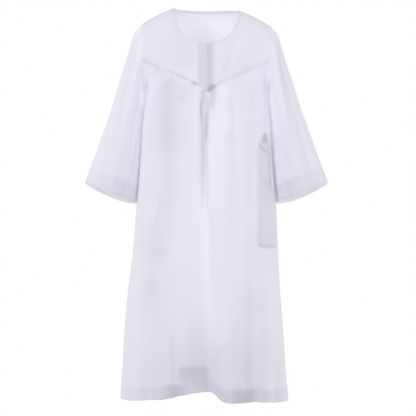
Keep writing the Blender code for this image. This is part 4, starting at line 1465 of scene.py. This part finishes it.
@dataclass
class FrontClosing(RobePart):
    """The placket over the closing, with its folded sides, and the underlap inside it."""

    columns: int = 44
    rows: int = 130
    stand: float = 0.0010
    edge: float = 0.0016
    under: float = 0.0022
    side_layers: float = 0.26
    left_layers: float = 0.50
    right_layers: float = 0.62
    line_layers: float = 0.16
    line_width: float = 0.0026
    edge_line_width: float = 0.0030
    upper_z: float = -0.158
    upper_reach: float = 0.035
    edge_z: float = -0.190
    edge_reach: float = 0.06
    seat: float = 0.0004
    channel_place: float = 0.0045
    channel_width: float = 0.0012
    channel_depth: float = 0.0003
    sewn_in: float = 0.0022
    top_corner: Stroke = Stroke(((0.018, -0.118), (0.024, -0.136)), 0.006, 0.30, fade=0.2)

    def placket(self) -> Piece:
        """A flat band from the neckline to the V's point; both sides roll down and under.

        Returns:
            The dressed band, with the stitching of both its sides.
        """
        robe = self.robe
        t = np.linspace(0, 1, self.columns)
        x = robe.placket_left + (robe.placket_edge - robe.placket_left) * t
        top_z = robe.neck_line(robe.neck_turn(x), np.zeros_like(x))[1]
        share = np.linspace(0, 1, self.rows)[:, None]
        z = top_z + (robe.yoke_seam_z(x) - 0.001 - top_z) * share
        x = np.broadcast_to(x, z.shape)
        from_edge = np.minimum(x - robe.placket_left, robe.placket_edge - x)
        out = self.stand * ease(from_edge / self.edge) - self.seat
        channel = bump(from_edge - self.channel_place, self.channel_width) * self.channel_depth
        points = robe.on_front(x, z, out - channel)
        right = ease((x - robe.underlap_left) / 0.008 + 0.5)
        # Dark lines down the placket's sides and along the underlap's edge: partly its seams' doubled cloth,
        # partly painted shadow of its raised edges, stronger toward the top and around the right edge's
        # middle.
        upper = bump(z - self.upper_z, self.upper_reach)
        lines = (0.25 + 0.75 * upper) * bump(x - robe.placket_left - 0.001, self.line_width)
        lines = lines + (0.2 + 0.7 * upper) * bump(x - robe.underlap_left, self.line_width)
        at_edge = bump(x - robe.placket_edge, self.edge_line_width)
        lines = lines + (0.5 + 0.8 * bump(z - self.edge_z, self.edge_reach)) * at_edge
        inner = ease((from_edge + 0.002) / 0.010)
        layers = self.left_layers + (self.right_layers - self.left_layers) * right
        layers = self.side_layers + (layers - self.side_layers) * inner + self.line_layers * lines
        layers = layers + summed(POINT_MARKS, x, z) + self.top_corner.value(x, z)
        grid = ClothGrid(points, panel_weave(points), layers)
        sides = (robe.placket_left + self.sewn_in, robe.placket_edge - self.sewn_in)
        sewing = tuple(grid.line(x, side, upright=True) for side in sides)
        return Piece(grid.build("placket_band"), Slot.PLACKET, ("placket",), sewing).dress(self.finish)

    def underlap(self) -> Piece:
        """The under layer of the closing, just inside the placket.

        Returns:
            The dressed band.
        """
        robe = self.robe
        x = np.linspace(robe.underlap_left, robe.underlap_right, 14)
        top_z = robe.neck_line(robe.neck_turn(x), np.zeros_like(x))[1] - 0.0006
        share = np.linspace(0, 1, 70)[:, None]
        z = top_z + (robe.yoke_seam_z(x) - top_z) * share
        points = robe.on_front(np.broadcast_to(x, z.shape), z, -self.under)
        grid = ClothGrid(points, panel_weave(points), np.full(z.shape, 0.3))
        return Piece(grid.build("underlap_band"), Slot.PLACKET, ("placket_underlap",)).dress(self.finish)


@dataclass
class Sleeve(RobePart):
    """A sleeve from the armhole to its turned-up cuff, open all the way through."""

    side: Side
    sides: int = 168
    rings: int = 170
    length: float = 0.50
    girth: float = 0.46
    allowance: float = 0.006
    cuff: FoldedEdge = FoldedEdge()
    one_layer: float = 0.10
    inner_shade: float = 0.16
    turned_glow: float = 0.09
    cuff_lift: float = 0.010
    cuff_lift_run: float = 0.22
    cuff_band: float = 0.15
    cuff_stitch: float = 0.06
    cuff_edge: float = 0.10
    band_softness: float = 0.022
    stitch_width: float = 0.005
    edge_width: float = 0.004
    underarm_glow: float = 0.12
    underarm_run: tuple[float, float] = (0.12, 0.09)
    right_share: float = 0.5
    edge_glow: float = 0.21
    outer_start: float = 0.55
    body_glow: float = 0.12
    inner_start: float = -0.76
    cuff_loss: float = 0.65
    back_loss: float = 0.7
    creases_left: tuple[Stroke, ...] = (
        Stroke(((0.085, 0.040), (0.120, 0.260)), 0.014, -0.0035),
        Stroke(((0.140, 0.080), (0.150, 0.400)), 0.013, 0.0030),
        Stroke(((0.175, 0.020), (0.168, 0.200)), 0.014, -0.0035),
        Stroke(((0.060, 0.300), (0.085, 0.480)), 0.015, 0.0030),
        Stroke(((0.190, 0.260), (0.175, 0.470)), 0.014, -0.0030),
        Stroke(((0.290, 0.050), (0.310, 0.300)), 0.016, -0.0040),
        Stroke(((0.350, 0.100), (0.340, 0.440)), 0.016, 0.0035),
        Stroke(((0.400, 0.060), (0.385, 0.280)), 0.015, -0.0030),
    )
    creases_right: tuple[Stroke, ...] = (
        Stroke(((0.075, 0.060), (0.100, 0.320)), 0.014, -0.0030),
        Stroke(((0.130, 0.030), (0.145, 0.300)), 0.014, 0.0032),
        Stroke(((0.180, 0.040), (0.160, 0.260)), 0.013, -0.0038),
        Stroke(((0.105, 0.260), (0.125, 0.490)), 0.014, -0.0028),
        Stroke(((0.195, 0.300), (0.190, 0.480)), 0.014, 0.0026),
        Stroke(((0.300, 0.060), (0.320, 0.360)), 0.016, 0.0034),
        Stroke(((0.345, 0.040), (0.350, 0.240)), 0.015, -0.0038),
        Stroke(((0.395, 0.200), (0.380, 0.450)), 0.015, -0.0032),
    )

    def build(self) -> Piece:
        """The sleeve as a tube: an allowance inside the armhole, the sleeve, the turned-up cuff.

        Returns:
            The dressed sleeve, with its cuff's stitching.
        """
        form = SleeveForm(self.robe)
        rise, inward = self.cuff.profile()
        runs = np.concatenate([[0.0, 0.0], np.linspace(0, 1, self.rings), 1 - rise / self.length])
        out = np.concatenate([[-0.0020, -0.0012], np.zeros(self.rings), -inward])
        run, turn = np.meshgrid(np.clip(runs, 0, 1), np.arange(self.sides) / self.sides, indexing="ij")
        surface = form.point(self.side, run, turn)
        to_front = np.clip(np.sin(turn * FULL_TURN), 0, 1)
        raised = self.cuff_lift * ease((run - 1 + self.cuff_lift_run) / self.cuff_lift_run)
        beyond = np.clip(runs - 1, 0, None)[:, None] * self.length
        surface[..., 2] = surface[..., 2] + raised * np.sqrt(to_front) - beyond
        tucked = np.array([self.allowance, self.allowance / 4])[:, None]
        surface[:2, :, 0] = surface[:2, :, 0] - self.side.value * tucked
        around = turn * self.girth
        creases = self.creases_left if self.side is Side.LEFT else self.creases_right
        lift = summed(creases, around, run * self.length) * ease(run / 0.06)
        points = surface + form.outward(self.side, run, turn) * (out[:, None] + lift)[..., None]
        turned = self.rings + 2
        layers = self.cuff_layers_and_inner_shade(run, turn)
        layers[turned:] = self.one_layer
        glow = self.light_through(run, turn)
        glow[turned:] = glow[turned:] + self.turned_glow
        across = np.concatenate([around, np.full((len(runs), 1), self.girth)], axis=1)
        along = np.repeat((runs * self.length)[:, None], self.sides + 1, axis=1)
        weave = np.stack([across, along], axis=-1)
        grid = ClothGrid(points, weave, layers, glow, closed=True, flip=self.side is Side.RIGHT)
        word = self.side.word
        sewing = (grid.line((1 - run[:turned]) * self.length, self.robe.turn_up),)
        shown = grid.build(f"sleeve_{word}_cloth")
        return Piece(shown, Slot.SLEEVE, (f"sleeve_{word}",), sewing, closed=True).dress(self.finish)

    def cuff_layers_and_inner_shade(self, run: Array, turn: Array) -> Array:
        """Painted shade on the sleeve's inner side toward the cuff, and the turned-up cuff and its edges
        showing through.

        Args:
            run: Place along the sleeve at each point.
            turn: Share of a turn round it.

        Returns:
            The layers at each point.
        """
        around = turn * self.girth
        from_cuff = (1 - run) * self.length
        uneven = 1 + 0.22 * np.sin(around * 95) + 0.14 * np.sin(around * 211 + 1.0)
        inner = ease((1 - np.cos(turn * FULL_TURN)) * 0.62)
        edge = 0.75 * self.robe.turn_up + 0.028 * inner + 0.0030 * np.sin(around * 120)
        layers = self.one_layer + self.inner_shade * inner * ease((0.36 - from_cuff) / 0.30)
        band = ease((edge - from_cuff) / self.band_softness + 0.5)
        # The cuff band darker toward the inner side: painted shade over the turned-up cloth.
        layers = layers + self.cuff_band * (0.35 + inner) * uneven * band
        layers = layers + self.cuff_stitch * uneven * bump(from_cuff - edge, self.stitch_width)
        return layers + self.cuff_edge * bump(from_cuff - 0.003, self.edge_width)

    def light_through(self, run: Array, turn: Array) -> Array:
        """More light passing: along the sleeve's outer and inner sides and below the underarm.

        Args:
            run: Place along the sleeve at each point.
            turn: Share of a turn round it.

        Returns:
            The glow at each point, less on the back's inner side.
        """
        lean = np.cos(turn * FULL_TURN)
        outer = self.edge_glow * ease((lean - self.outer_start) / (1 - self.outer_start))
        inner = self.body_glow * ease((self.inner_start - lean) / (1 + self.inner_start))
        glow = (outer + inner) * ease(run / 0.04) * (1 - self.cuff_loss * ease(run))
        underarm = self.underarm_glow * (1.0 if self.side is Side.LEFT else self.right_share)
        place, reach = self.underarm_run
        glow = glow + underarm * ease((-0.60 - lean) / 0.35) * bump(run - place, reach)
        return glow * (1 - self.back_loss * ease(-np.sin(turn * FULL_TURN) * 4) * (lean < 0))


@dataclass
class NeckBinding(RobePart):
    """A narrow bias band folded over the neck edge."""

    width: float = 0.0062
    stations: int = 260
    crown: float = 0.0010
    rest: float = 0.0006
    inner_rest: float = 0.0007
    sewn_in: float = 0.0010
    layers: float = 0.60

    def build(self) -> Piece:
        """A flat loop carried round the neck edge: over the outside, round the edge, up the inside.

        Across, psi runs from 0 at the outer face's seam to 1 at the inner face's. Its
        distance from the edge is width times |cos|, its height a crowned arch.

        Returns:
            The dressed band, with its stitching.
        """
        phi = turns_round(self.stations)
        phi = phi + 0.12 * np.sin(2 * phi)
        psi = np.linspace(0, 1, 15)
        away = self.width * np.abs(np.cos(psi * HALF_TURN)) ** 0.8 - 0.0006 * np.sin(psi * HALF_TURN)
        outer_arch = self.crown * np.sin(np.clip(psi * 2, 0, 1) * HALF_TURN) ** 0.7
        inner_arch = 0.5 * self.crown * np.sin(np.clip(psi * 2 - 1, 0, 1) * HALF_TURN) ** 0.7
        blend = ease((psi - 0.44) / 0.12)
        outer = (self.rest + outer_arch) * (1 - blend)
        height = outer + (-self.robe.cloth - self.inner_rest - inner_arch) * blend
        rows = [self.station(phi, float(a)) for a in away]
        points = np.stack([p + n * h for (p, n), h in zip(rows, height)])
        around = lengths_along(np.concatenate([points, points[:, :1]], axis=1), 1)
        across = np.repeat((psi * self.width * 2)[:, None], self.stations + 1, axis=1)
        layers = np.full(points.shape[:2], self.layers)
        grid = ClothGrid(points, np.stack([around, across], axis=-1), layers, closed=True)
        from_edge = np.repeat(away[:6, None], self.stations, axis=1)
        sewing = (grid.line(from_edge, self.width - self.sewn_in),)
        piece = Piece(grid.build("neck_band"), Slot.BINDING, ("neck_binding",), sewing, closed=True)
        return piece.dress(self.finish)

    def station(self, phi: Array, away: float) -> tuple[Array, Array]:
        """Points round the neck at one distance from its edge, with their outward vectors.

        Args:
            phi: Turns round the neck.
            away: Distance from the edge along the cloth.

        Returns:
            The points and their outward vectors.
        """
        robe = self.robe
        behind = np.cos(phi) < 0
        front_x, front_z = robe.neck_line(phi, np.full_like(phi, away))
        back_x, back_z = robe.neck_line(phi, np.full_like(phi, away), back=True)
        x = np.where(behind, back_x, front_x)
        z = np.where(behind, back_z, front_z)
        turn = robe.front_turn(x, z)
        theta = np.where(behind, HALF_TURN - turn, turn)
        return robe.point(theta, z), robe.outward(theta, z)


@dataclass
class PocketBag(RobePart):
    """A pocket bag inside a side seam, from its front edge round to its back edge."""

    side: Side
    front_x: float
    back_x: float
    top_z: float
    bottom_z: float
    corner: float = 0.030
    inside: float = 0.0031
    rows: int = 70
    columns: int = 60

    def build(self) -> Piece:
        """The bag as one sheet inside the body, its four corners rounded by quarter circles.

        Returns:
            The dressed bag.
        """
        robe = self.robe
        sign = self.side.value
        z = np.repeat(np.linspace(self.top_z, self.bottom_z, self.rows)[:, None], self.columns, axis=1)
        rise = np.clip((z - self.bottom_z) / self.corner, 0, 1)
        fall = np.clip((self.top_z - z) / self.corner, 0, 1)
        corner = self.corner * (2 - np.sqrt(1 - (1 - rise) ** 2) - np.sqrt(1 - (1 - fall) ** 2))
        start = robe.front_turn(self.front_x + sign * corner, z) * sign
        stop = HALF_TURN - robe.front_turn(self.back_x + sign * corner, z) * sign
        theta = (start + (stop - start) * np.linspace(0, 1, self.columns)[None, :]) * sign
        points = robe.point(theta, z) - robe.outward(theta, z) * self.inside
        grid = ClothGrid(points, panel_weave(points), np.full(z.shape, 0.3), flip=self.side is Side.LEFT)
        word = self.side.word
        piece = Piece(grid.build(f"pocket_{word}_cloth"), Slot.POCKET, (f"pocket_bag_{word}",))
        return piece.dress(self.finish)


@dataclass
class Tassel(RobePart):
    """A small knot at the foot of the closing with two locks of twisted strands."""

    x: float = -0.0105
    top_z: float = -0.280
    length: float = 0.374
    standoff: float = 0.0046
    seat: float = 0.0004
    head: tuple[float, float, float] = (0.0150, 0.0060, 0.0180)
    across: int = 8
    deep: int = 2
    strand: float = 0.0010
    radius: float = 0.00060
    fringe_radius: float = 0.00028
    fringe_spread: float = 0.0016
    wave: float = 0.0005
    lobe: float = 0.22
    wraps: int = 7
    gather: tuple[float, float] = (0.95, 1.35)
    layer_step: float = 2.4
    shorter: float = 0.05
    blend_run: float = 0.10
    steps: int = 90
    sides: int = 9
    plies: int = 3
    twist_pitch: float = 0.011
    fringe: int = 5
    fringe_length: float = 0.020
    parting: Table = Table(
        ("run", "parting", "sway"),
        (
            (0.00, 0.0040, 0.000),
            (0.05, 0.0074, 0.001),
            (0.25, 0.0078, 0.001),
            (0.42, 0.0074, 0.002),
            (0.54, 0.0052, 0.001),
            (0.62, 0.0044, 0.001),
            (0.71, 0.0064, 0.001),
            (0.82, 0.0054, 0.002),
            (1.00, 0.0076, 0.003),
        ),
    )

    def paths(self) -> Array:
        """Middle lines of the strands: two locks that part and meet, blended from the knot's roots.

        Returns:
            One row of points for each strand.
        """
        index = np.arange(self.across * self.deep)
        place, layer = index % self.across, index // self.across
        half = self.across // 2
        lock = np.where(place < half, -1.0, 1.0)[:, None]
        within = (place % half - (half - 1) / 2)[:, None]
        ending = (1.0 - self.shorter * ((place * 5 + layer * 3) % 4))[:, None]
        run = np.linspace(0, 1, self.steps)[None, :]
        low = self.top_z - self.head[2]
        z = low + 0.003 - (self.length - self.head[2]) * run * ending
        gather = self.strand * (self.gather[0] + (self.gather[1] - self.gather[0]) * run)
        pair = self.parting.read("parting", run)
        drift = self.parting.read("sway", run)
        wave = self.wave * np.sin(run * 23 + index[:, None] * 2.1)
        x = self.x + drift + lock * pair + within * gather + wave
        front_y = self.robe.on_front(x, z, 0.0)[..., 1]
        y = front_y - self.standoff + (layer[:, None] - 0.5) * self.strand * self.layer_step
        root_x = self.x + ((place + 0.5) / self.across - 0.5)[:, None] * self.head[0] * 0.8
        root_y = self.head_y() + (layer[:, None] - 0.5) * self.head[1] / 2
        blend = ease(run / self.blend_run)
        return np.stack([root_x + (x - root_x) * blend, root_y + (y - root_y) * blend, z + 0 * x], axis=-1)

    def head_y(self) -> float:
        """Middle of the knot in depth, whose back rests on the cloth.

        Returns:
            Its place front to back.
        """
        z = np.array([self.top_z, self.top_z - self.head[2]])
        front = self.robe.on_front(np.full(2, self.x), z, 0.0)[:, 1].min()
        return float(front) - self.head[1] / 2 - self.seat

    def tubes(self, paths: Array, radius: Array, sides: int, plies: int) -> tuple[Array, Array]:
        """Tubes along many paths at once: rings square to each path, with the plies' lobes twisting.

        Args:
            paths: Middle lines, one row of points each.
            radius: Radius at each point of each path.
            sides: Points round a ring.
            plies: Lobes of the twisted plies, 0 for a plain round.

        Returns:
            All the tubes' points and faces.
        """
        count, steps = paths.shape[:2]
        along = unit(np.gradient(paths, axis=1))
        first = unit(np.cross(along, np.array([0.0, 1.0, 0.0])))
        second = np.cross(along, first)
        angle = turns_round(sides)
        turned = -paths[..., 2:3] / self.twist_pitch * FULL_TURN
        lobes = 1 + (self.lobe * np.cos(plies * (angle + turned)) if plies else 0.0)
        reach = (radius[..., None] * lobes)[..., None]
        ring = first[:, :, None] * np.cos(angle)[:, None] + second[:, :, None] * np.sin(angle)[:, None]
        points = (paths[:, :, None] + ring * reach).reshape(-1, 3)
        return points, quads(count, steps, sides)

    def knot(self) -> tuple[Array, Array]:
        """The knot: an upright oval whose radius swells twice, wrapped by slanting turns of thread.

        Returns:
            The knot's points and faces.
        """
        wide, deep, tall = self.head
        rows, columns = 60, 48
        rise = np.linspace(0, 1, rows)[:, None]
        angle = turns_round(columns)[None, :]
        swell = np.sin(np.clip(rise, 0.001, 0.999) * HALF_TURN) ** 0.45
        swell = swell * (0.86 + 0.14 * np.cos(rise * FULL_TURN))
        wraps = 1 + 0.05 * np.sin(rise * self.wraps * FULL_TURN + angle)
        x = self.x + np.cos(angle) * wide * 0.46 * swell * wraps + 0.0012 * (0.5 - rise)
        y = self.head_y() + np.sin(angle) * deep * 0.5 * swell * wraps
        z = self.top_z - tall * (1 - rise) + 0.0012 * np.cos(angle) * swell
        return np.stack([x, y, z], axis=-1).reshape(-1, 3), quads(1, rows, columns)

    def lightness(self, points: Array) -> Array:
        """How light the thread is, as painted shade and light: darker on a stretch of each lock below the
        knot, at the knot and lower down on the left, lighter toward the ends.

        Args:
            points: The tassel's points.

        Returns:
            The lightness at each point.
        """
        z = points[:, 2]
        left = bump(z + 0.338, 0.034) * (points[:, 0] < self.x)
        right = bump(z + 0.405, 0.048) * (points[:, 0] > self.x)
        knot = 0.24 * ease((z + 0.302) / 0.010)
        low = 0.14 * bump(z + 0.560, 0.080) * (points[:, 0] < self.x + 0.002)
        return 0.42 + 0.22 * ease((-0.46 - z) / 0.14) - 0.34 * (left + right) - knot - low

    def build(self) -> Piece:
        """Strands, the fringe at their ends and the knot, as one mesh.

        Returns:
            The dressed tassel.
        """
        paths = self.paths()
        taper = 1 - 0.25 * np.linspace(0, 1, self.steps) ** 6
        thickness = self.radius * np.broadcast_to(taper, paths.shape[:2])
        strands = self.tubes(paths, thickness, self.sides, self.plies)
        tips = np.repeat(paths[:, -1], self.fringe, axis=0)
        number = np.arange(len(tips))
        fan = np.tile(np.linspace(-1, 1, self.fringe), len(paths))
        run = np.linspace(0, 1, 12)[None, :]
        down = self.fringe_length * (0.6 + 0.4 * np.cos(number * 2.4))[:, None]
        x = tips[:, None, 0] + fan[:, None] * self.fringe_spread * run**1.5
        y = tips[:, None, 1] - 0.0008 * run * np.sin(number * 1.7)[:, None]
        ends = np.stack([x, y, tips[:, None, 2] + 0.002 - down * run], axis=-1)
        thickness = self.fringe_radius * (1 - 0.7 * run) * np.ones((len(tips), 1))
        points, faces = joined([strands, self.tubes(ends, thickness, 4, 0), self.knot()])
        # Painted shade and light at each point of the threads.
        shown = put_mesh("tassel_threads", points, faces, lightness=self.lightness(points))
        return Piece(shown, Slot.TASSEL, ("tassel",)).dress(self.finish)


def joined(parts: list[tuple[Array, Array]]) -> tuple[Array, Array]:
    """Several meshes as one: their points in turn, and their faces numbered on.

    Args:
        parts: Points and faces of each mesh.

    Returns:
        The points and faces of the whole.
    """
    starts = np.cumsum([0] + [len(points) for points, _ in parts[:-1]])
    faces = [faces + start for (_, faces), start in zip(parts, starts)]
    return np.concatenate([points for points, _ in parts]), np.concatenate(faces)


@dataclass(frozen=True)
class Stitching:
    """Rows of stitches that lie on the cloth: short rounded threads with gaps between."""

    length: float = 0.0024
    gap: float = 0.0009
    radius: float = 0.00022
    sides: int = 5
    rings: tuple[tuple[float, float], ...] = (
        (0.0, 0.25),
        (0.12, 0.85),
        (0.5, 1.0),
        (0.88, 0.85),
        (1.0, 0.25),
    )

    def row(self, line: Array, out: Array, closed: bool) -> tuple[Array, Array]:
        """Stitches along a line: each an oval thread whose ends dip into the cloth.

        Args:
            line: Points of the line.
            out: The cloth's outward vectors there.
            closed: Whether the line runs all round.

        Returns:
            The stitches' points and faces.
        """
        if closed:
            line = np.concatenate([line, line[:1]])
            out = np.concatenate([out, out[:1]])
        run = lengths_along(line[None], 1)[0]
        count = int(run[-1] / (self.length + self.gap))
        start = (np.arange(count) + 0.15) * run[-1] / count
        share, thick = np.array(self.rings).T
        at = start[:, None] + share * self.length
        middle = np.stack([np.interp(at, run, line[:, k]) for k in range(3)], axis=-1)
        up = unit(np.stack([np.interp(at, run, out[:, k]) for k in range(3)], axis=-1))
        along = middle[:, -1:] - middle[:, :1]
        beside = unit(np.cross(np.broadcast_to(along, up.shape), up))
        angle = turns_round(self.sides)
        ring = beside[:, :, None] * np.cos(angle)[:, None] + up[:, :, None] * np.sin(angle)[:, None]
        middle = middle + up * (thick[:, None] - 0.4) * self.radius
        points = middle[:, :, None] + ring * (self.radius * thick)[:, None, None]
        return points.reshape(-1, 3), quads(count, len(share), self.sides)

    def build(self, cloth: Piece, finish: ThreadFinish) -> Piece:
        """The rows of stitches on a piece of cloth, as one mesh.

        Args:
            cloth: The piece, with the lines of its sewing.
            finish: The thread's finish.

        Returns:
            The dressed rows.
        """
        points, faces = joined([self.row(line, out, cloth.closed) for line, out in cloth.sewing])
        shown = put_mesh(f"{cloth.shown.name}_stitches", points, faces)
        return Piece(shown, cloth.slot).dress(finish)


@dataclass(frozen=True)
class SoftLight:
    """A large soft lamp that looks at the robe's middle."""

    name: str
    place: tuple[float, float, float]
    size: float
    power: float
    colour: tuple[float, float, float] = (1.0, 1.0, 1.0)
    aim: tuple[float, float, float] = (0.0, 0.0, -0.65)

    def build(self) -> None:
        """An area light whose -Z axis points from its place to its aim."""
        lamp = bpy.data.lights.new(self.name, "AREA")
        lamp.shape = "DISK"
        lamp.size = self.size
        lamp.energy = self.power
        lamp.color = self.colour
        made = put(self.name, lamp)
        made.location = self.place
        toward = Vector(self.aim) - Vector(self.place)
        made.rotation_euler = toward.to_track_quat("-Z", "Y").to_euler()


@dataclass(frozen=True)
class Studio:
    """White surroundings, soft lamps, a pale floor below and the camera at the photograph's place."""

    camera_place: tuple[float, float, float] = (0.005, -2.8, -0.658)
    lens: float = 72.87
    sensor: float = 36.0
    floor_z: float = -1.80
    floor_half: tuple[float, float] = (1.7, 1.5)
    floor_colour: tuple[float, float, float] = (0.9, 0.9, 0.9)
    floor_roughness: float = 0.9
    ambient: float = 0.54
    ambient_colour: tuple[float, float, float] = (0.985, 0.985, 1.0)
    lamps: tuple[SoftLight, ...] = (
        SoftLight("key_lamp", (-2.4, -2.2, 0.7), 1.4, 30.0),
        SoftLight("fill_lamp", (2.5, -1.9, 0.2), 1.8, 16.0),
        SoftLight("front_lamp", (0.2, -3.0, 0.4), 1.4, 12.0),
    )

    def build(self) -> None:
        """Surroundings, lamps, floor and camera."""
        scene = bpy.context.scene
        scene.view_settings.view_transform = "Standard"
        self.surround(scene)
        for lamp in self.lamps:
            lamp.build()
        self.floor()
        lens = bpy.data.cameras.new("photo_camera")
        lens.lens = self.lens
        lens.sensor_width = self.sensor
        camera = put("photo_camera", lens)
        camera.location = self.camera_place
        camera.rotation_euler = (QUARTER_TURN, 0.0, 0.0)
        scene.camera = camera

    def surround(self, scene: bpy.types.Scene) -> None:
        """White surroundings that look pure white and light the robe more softly.

        Args:
            scene: The scene whose world is made.
        """
        world = bpy.data.worlds.new("white_studio")
        world.use_nodes = True
        scene.world = world
        world.node_tree.nodes.clear()
        wires = Wiring(world.node_tree)
        seen = wires.add("LightPath")
        ambient = (*self.ambient_colour, 1)
        lighting = wires.add("Background", {"Color": ambient, "Strength": self.ambient})
        backdrop = wires.add("Background", {"Color": (1, 1, 1, 1)})
        mix = wires.add("MixShader")
        leave = wires.add("OutputWorld")
        wires.join(seen, "Is Camera Ray", mix, "Fac")
        wires.join(lighting, "Background", mix, 1)
        wires.join(backdrop, "Background", mix, 2)
        wires.join(mix, "Shader", leave, "Surface")

    def floor(self) -> None:
        """A plain pale floor below the hem, out of the photograph's frame."""
        wide, deep = self.floor_half
        corners = np.array([(-wide, -deep), (wide, -deep), (wide, deep), (-wide, deep)])
        points = np.column_stack([corners, np.full(4, self.floor_z)])
        made = put_mesh("pale_floor", points, np.array([(0, 1, 2, 3)]))
        values = {"Base Color": (*self.floor_colour, 1), "Roughness": self.floor_roughness}
        made.data.materials.append(new_material("pale_floor", values)[0])


def main() -> None:
    """Build the robe over its solids and light it as photographed."""
    logging.basicConfig(level=logging.INFO, format="%(name)s: %(message)s")
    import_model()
    Studio().build()
    robe = RobeForm()
    body = WeaveFinish("body_cloth_weave", (0.82, 0.806, 0.885))
    yoke = WeaveFinish("yoke_cloth_weave", (0.82, 0.805, 0.885))
    fold = WeaveFinish("placket_cloth_weave", (0.84, 0.825, 0.90))
    sleeve = WeaveFinish("sleeve_cloth_weave", (0.81, 0.795, 0.88))
    bias = WeaveFinish("binding_cloth_weave", (0.80, 0.785, 0.87), (0.50, 0.48, 0.57))
    pocket = WeaveFinish("pocket_cloth_weave", (0.80, 0.785, 0.87), (0.5, 0.48, 0.56))
    thread = ThreadFinish("tassel_thread", (0.86, 0.845, 0.91), (0.44, 0.42, 0.50))
    cotton = ThreadFinish("sewing_thread", (0.92, 0.905, 0.96), (0.74, 0.725, 0.80))
    front = FrontPanel(robe, body).build()
    back = BackPanel(robe, body).build()
    yokes = [SideYoke(robe, yoke, side).build() for side in Side]
    closing = FrontClosing(robe, fold)
    placket = closing.placket()
    underlap = closing.underlap()
    sleeves = [Sleeve(robe, sleeve, side).build() for side in Side]
    band = NeckBinding(robe, bias).build()
    bags = (
        PocketBag(robe, pocket, Side.LEFT, -0.203, -0.150, -0.475, -0.790).build(),
        PocketBag(robe, pocket, Side.RIGHT, 0.163, 0.226, -0.440, -0.785).build(),
    )
    tassel = Tassel(robe, thread).build()
    sewn = (front, back, *yokes, placket, *sleeves, band)
    stitches = [Stitching().build(piece, cotton) for piece in sewn]
    for piece in (*sewn, underlap, *bags, tassel, *stitches):
        LOG.info("%s: %d faces", piece.shown.name, len(piece.shown.data.polygons))


if __name__ == "__main__":
    main()
